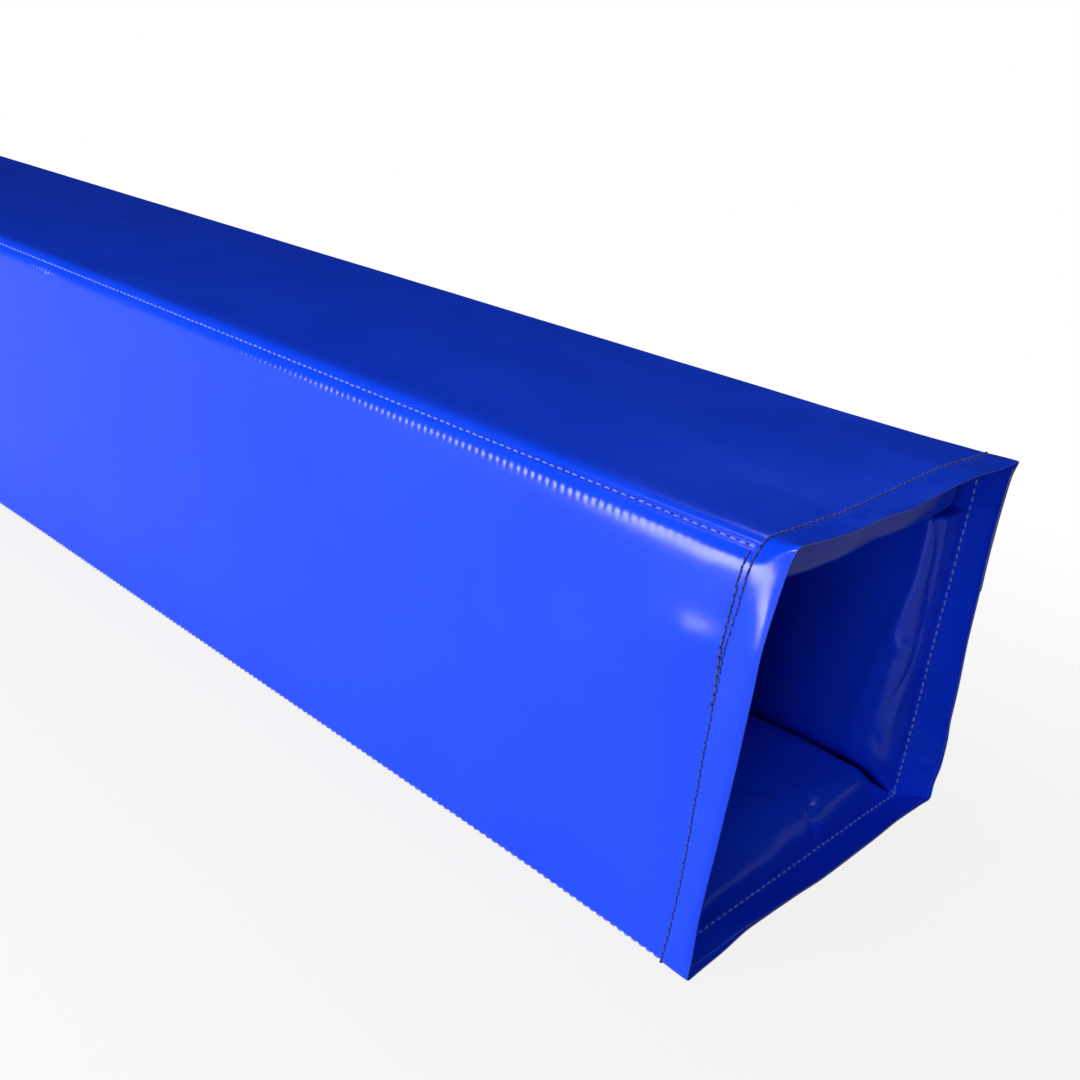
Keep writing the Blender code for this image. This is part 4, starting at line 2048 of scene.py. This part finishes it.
@dataclass
class Floor:
    """Plain pale floor that the pad lies on."""

    size: float = 30.0
    tone: float = 0.45
    depth: float = 0.0011
    white_from: float = 0.86
    white_to: float = 1.0
    shadow_share: float = 0.12
    white_share: float = 0.7
    mirrored_share: float = 0.35

    def build(self) -> Piece:
        """Makes the floor, white to the camera apart from the pad's soft shadow.

        Returns:
            The floor.
        """
        bpy.ops.object.select_all(action="DESELECT")
        bpy.ops.mesh.primitive_plane_add(size=self.size, location=(0, 0, -self.depth))
        floor = bpy.context.object
        floor.name = "floor"
        nodes = Nodes("pale_floor")
        nodes.shader.inputs["Base Color"].default_value = (self.tone, self.tone, self.tone, 1)
        nodes.shader.inputs["Roughness"].default_value = 0.9
        nodes.shader.inputs["Specular IOR Level"].default_value = 0.0
        white = nodes.add("ShaderNodeEmission")
        path = nodes.add("ShaderNodeLightPath")
        blend = nodes.add("ShaderNodeMixShader")
        x, y, _ = nodes.split(nodes.place())
        past = nodes.math("SUBTRACT", nodes.math("ABSOLUTE", x), HALF_LENGTH)
        past = nodes.math("MAXIMUM", past, 0.0)
        squares = [nodes.math("POWER", way, 2.0) for way in (past, nodes.math("ABSOLUTE", y))]
        away = nodes.math("SQRT", nodes.math("ADD", *squares))
        near_share = nodes.mapped(
            away, self.white_from, self.white_to, self.shadow_share, self.white_share
        )
        ahead = nodes.mapped(y, self.mirrored_share, 0.0, -0.2, -0.05)
        seen = nodes.math("MULTIPLY", path.outputs["Is Glossy Ray"], ahead)
        seen = nodes.math("MAXIMUM", path.outputs["Is Camera Ray"], seen)
        share = nodes.math("MULTIPLY", seen, near_share)
        nodes.link(share, blend.inputs[0])
        nodes.link(nodes.shader.outputs[0], blend.inputs[1])
        nodes.link(white.outputs[0], blend.inputs[2])
        nodes.link(blend.outputs[0], nodes.tree.nodes["Material Output"].inputs["Surface"])
        floor.data.materials.append(nodes.material)
        return floor


@dataclass(frozen=True)
class SoftLight:
    """One large soft lamp that looks at the pad, and may be too soft to show as a glare."""

    name: str
    place: tuple
    target: tuple
    size: tuple
    power: float
    glares: bool = True

    def build(self) -> Piece:
        """Hangs the lamp.

        Returns:
            The lamp.
        """
        data = bpy.data.lights.new(self.name, "AREA")
        data.shape = "RECTANGLE"
        data.size, data.size_y = self.size
        data.energy = self.power
        lamp = bpy.data.objects.new(self.name, data)
        bpy.context.scene.collection.objects.link(lamp)
        way = np.array(self.target, float) - np.array(self.place, float)
        lamp.location = self.place
        lamp.visible_glossy = self.glares
        lamp.rotation_euler = Vector(way).to_track_quat("-Z", "Y").to_euler()
        return lamp


@dataclass
class Studio:
    """Floor, lamps, white surroundings and the camera."""

    lamps: tuple = (
        SoftLight("front_lamp", (0.6, -2.6, 0.6), (0.42, 0, 0.15), (3.2, 1.1), 50.0, False),
        SoftLight("window_lamp", (-0.12, -2.2, 0.36), (0.8, 0, 0.2), (0.92, 0.6), 22.0),
        SoftLight("left_lamp", (-2.1, -2.15, 0.5), (0.1, 0, 0.2), (1.5, 0.92), 1.1),
        SoftLight("top_lamp", (0.15, -1.25, 2.66), (0.35, 0, 0.2), (1.4, 0.9), 21.5),
        SoftLight("back_lamp", (0.1, 1.9, 2.8), (0, 0, 0.1), (2.0, 1.0), 12.0),
        SoftLight("right_lamp", (2.0, -0.4, 2.4), (0.9, 0, 0.05), (1.2, 1.0), 10.0),
    )
    ambient: float = 0.008
    lens: float = 40.3814
    place: tuple = (1.11808, -0.51494, 0.39653)
    right: tuple = (0.72316, 0.6828, 0.10405)
    up: tuple = (-0.32988, 0.2091, 0.92057)
    forward: tuple = (-0.60681, 0.70004, -0.37646)

    def surroundings(self) -> None:
        """White to the camera, dim and even to everything else."""
        world = bpy.data.worlds.new("studio")
        bpy.context.scene.world = world
        world.use_nodes = True
        tree = world.node_tree
        back = tree.nodes["Background"]
        path = tree.nodes.new("ShaderNodeLightPath")
        level = tree.nodes.new("ShaderNodeMapRange")
        level.inputs["To Min"].default_value = self.ambient
        level.inputs["To Max"].default_value = 1.0
        tree.links.new(path.outputs["Is Camera Ray"], level.inputs["Value"])
        tree.links.new(level.outputs[0], back.inputs["Strength"])
        back.inputs["Color"].default_value = (1, 1, 1, 1)

    def camera(self) -> None:
        """The camera at the photograph's place and angle."""
        data = bpy.data.cameras.new("camera")
        data.lens = self.lens
        data.sensor_width = 36.0
        data.clip_start = 0.01
        camera = bpy.data.objects.new("camera", data)
        bpy.context.scene.collection.objects.link(camera)
        turn = Matrix((self.right, self.up, [-c for c in self.forward])).transposed()
        camera.matrix_world = Matrix.Translation(self.place) @ turn.to_4x4()
        bpy.context.scene.camera = camera

    def build(self) -> None:
        """Sets the whole studio up."""
        bpy.context.scene.view_settings.view_transform = "Standard"
        Floor().build()
        for lamp in self.lamps:
            lamp.build()
        self.surroundings()
        self.camera()


def reported(piece: Piece) -> None:
    """Reports a finished piece."""
    log.info("%s: %d faces", piece.name, len(piece.data.polygons))


def main() -> None:
    """Builds the studio and every piece of the pad, in order."""
    logging.basicConfig(level=logging.INFO, format="%(name)s: %(message)s")
    Studio().build()
    finishes = Finishes()
    cover = Cover(Lay(NEAR_END, FAR_END))
    panels = [CoverPanel(face, cover, finishes) for face in Face]
    folds = [CoverFold(face, cover, finishes) for face in (Face.TOP, Face.FRONT, Face.BOTTOM)]
    for part in (*panels, *folds):
        reported(part.build())
    for face in Face:
        liner = InnerLiner(face, cover, finishes, NEAR_POCKETS[face], FAR_POCKETS[face])
        reported(liner.build())
        reported(FoamSlab(liner).build())
    flap = ClosureFlap(cover, finishes)
    reported(flap.build())
    for tape in FasteningStrips(cover, finishes).build():
        reported(tape)
    stitching = Stitching(cover, finishes)
    for panel in panels:
        reported(stitching.panel_piece(panel))
    for fold in folds:
        reported(stitching.fold_piece(fold))
    reported(stitching.flap_piece(flap))
    for place in (LOOP_PLACE, HOOK_PLACE):
        reported(stitching.tape_piece(place))


if __name__ == "__main__":
    main()
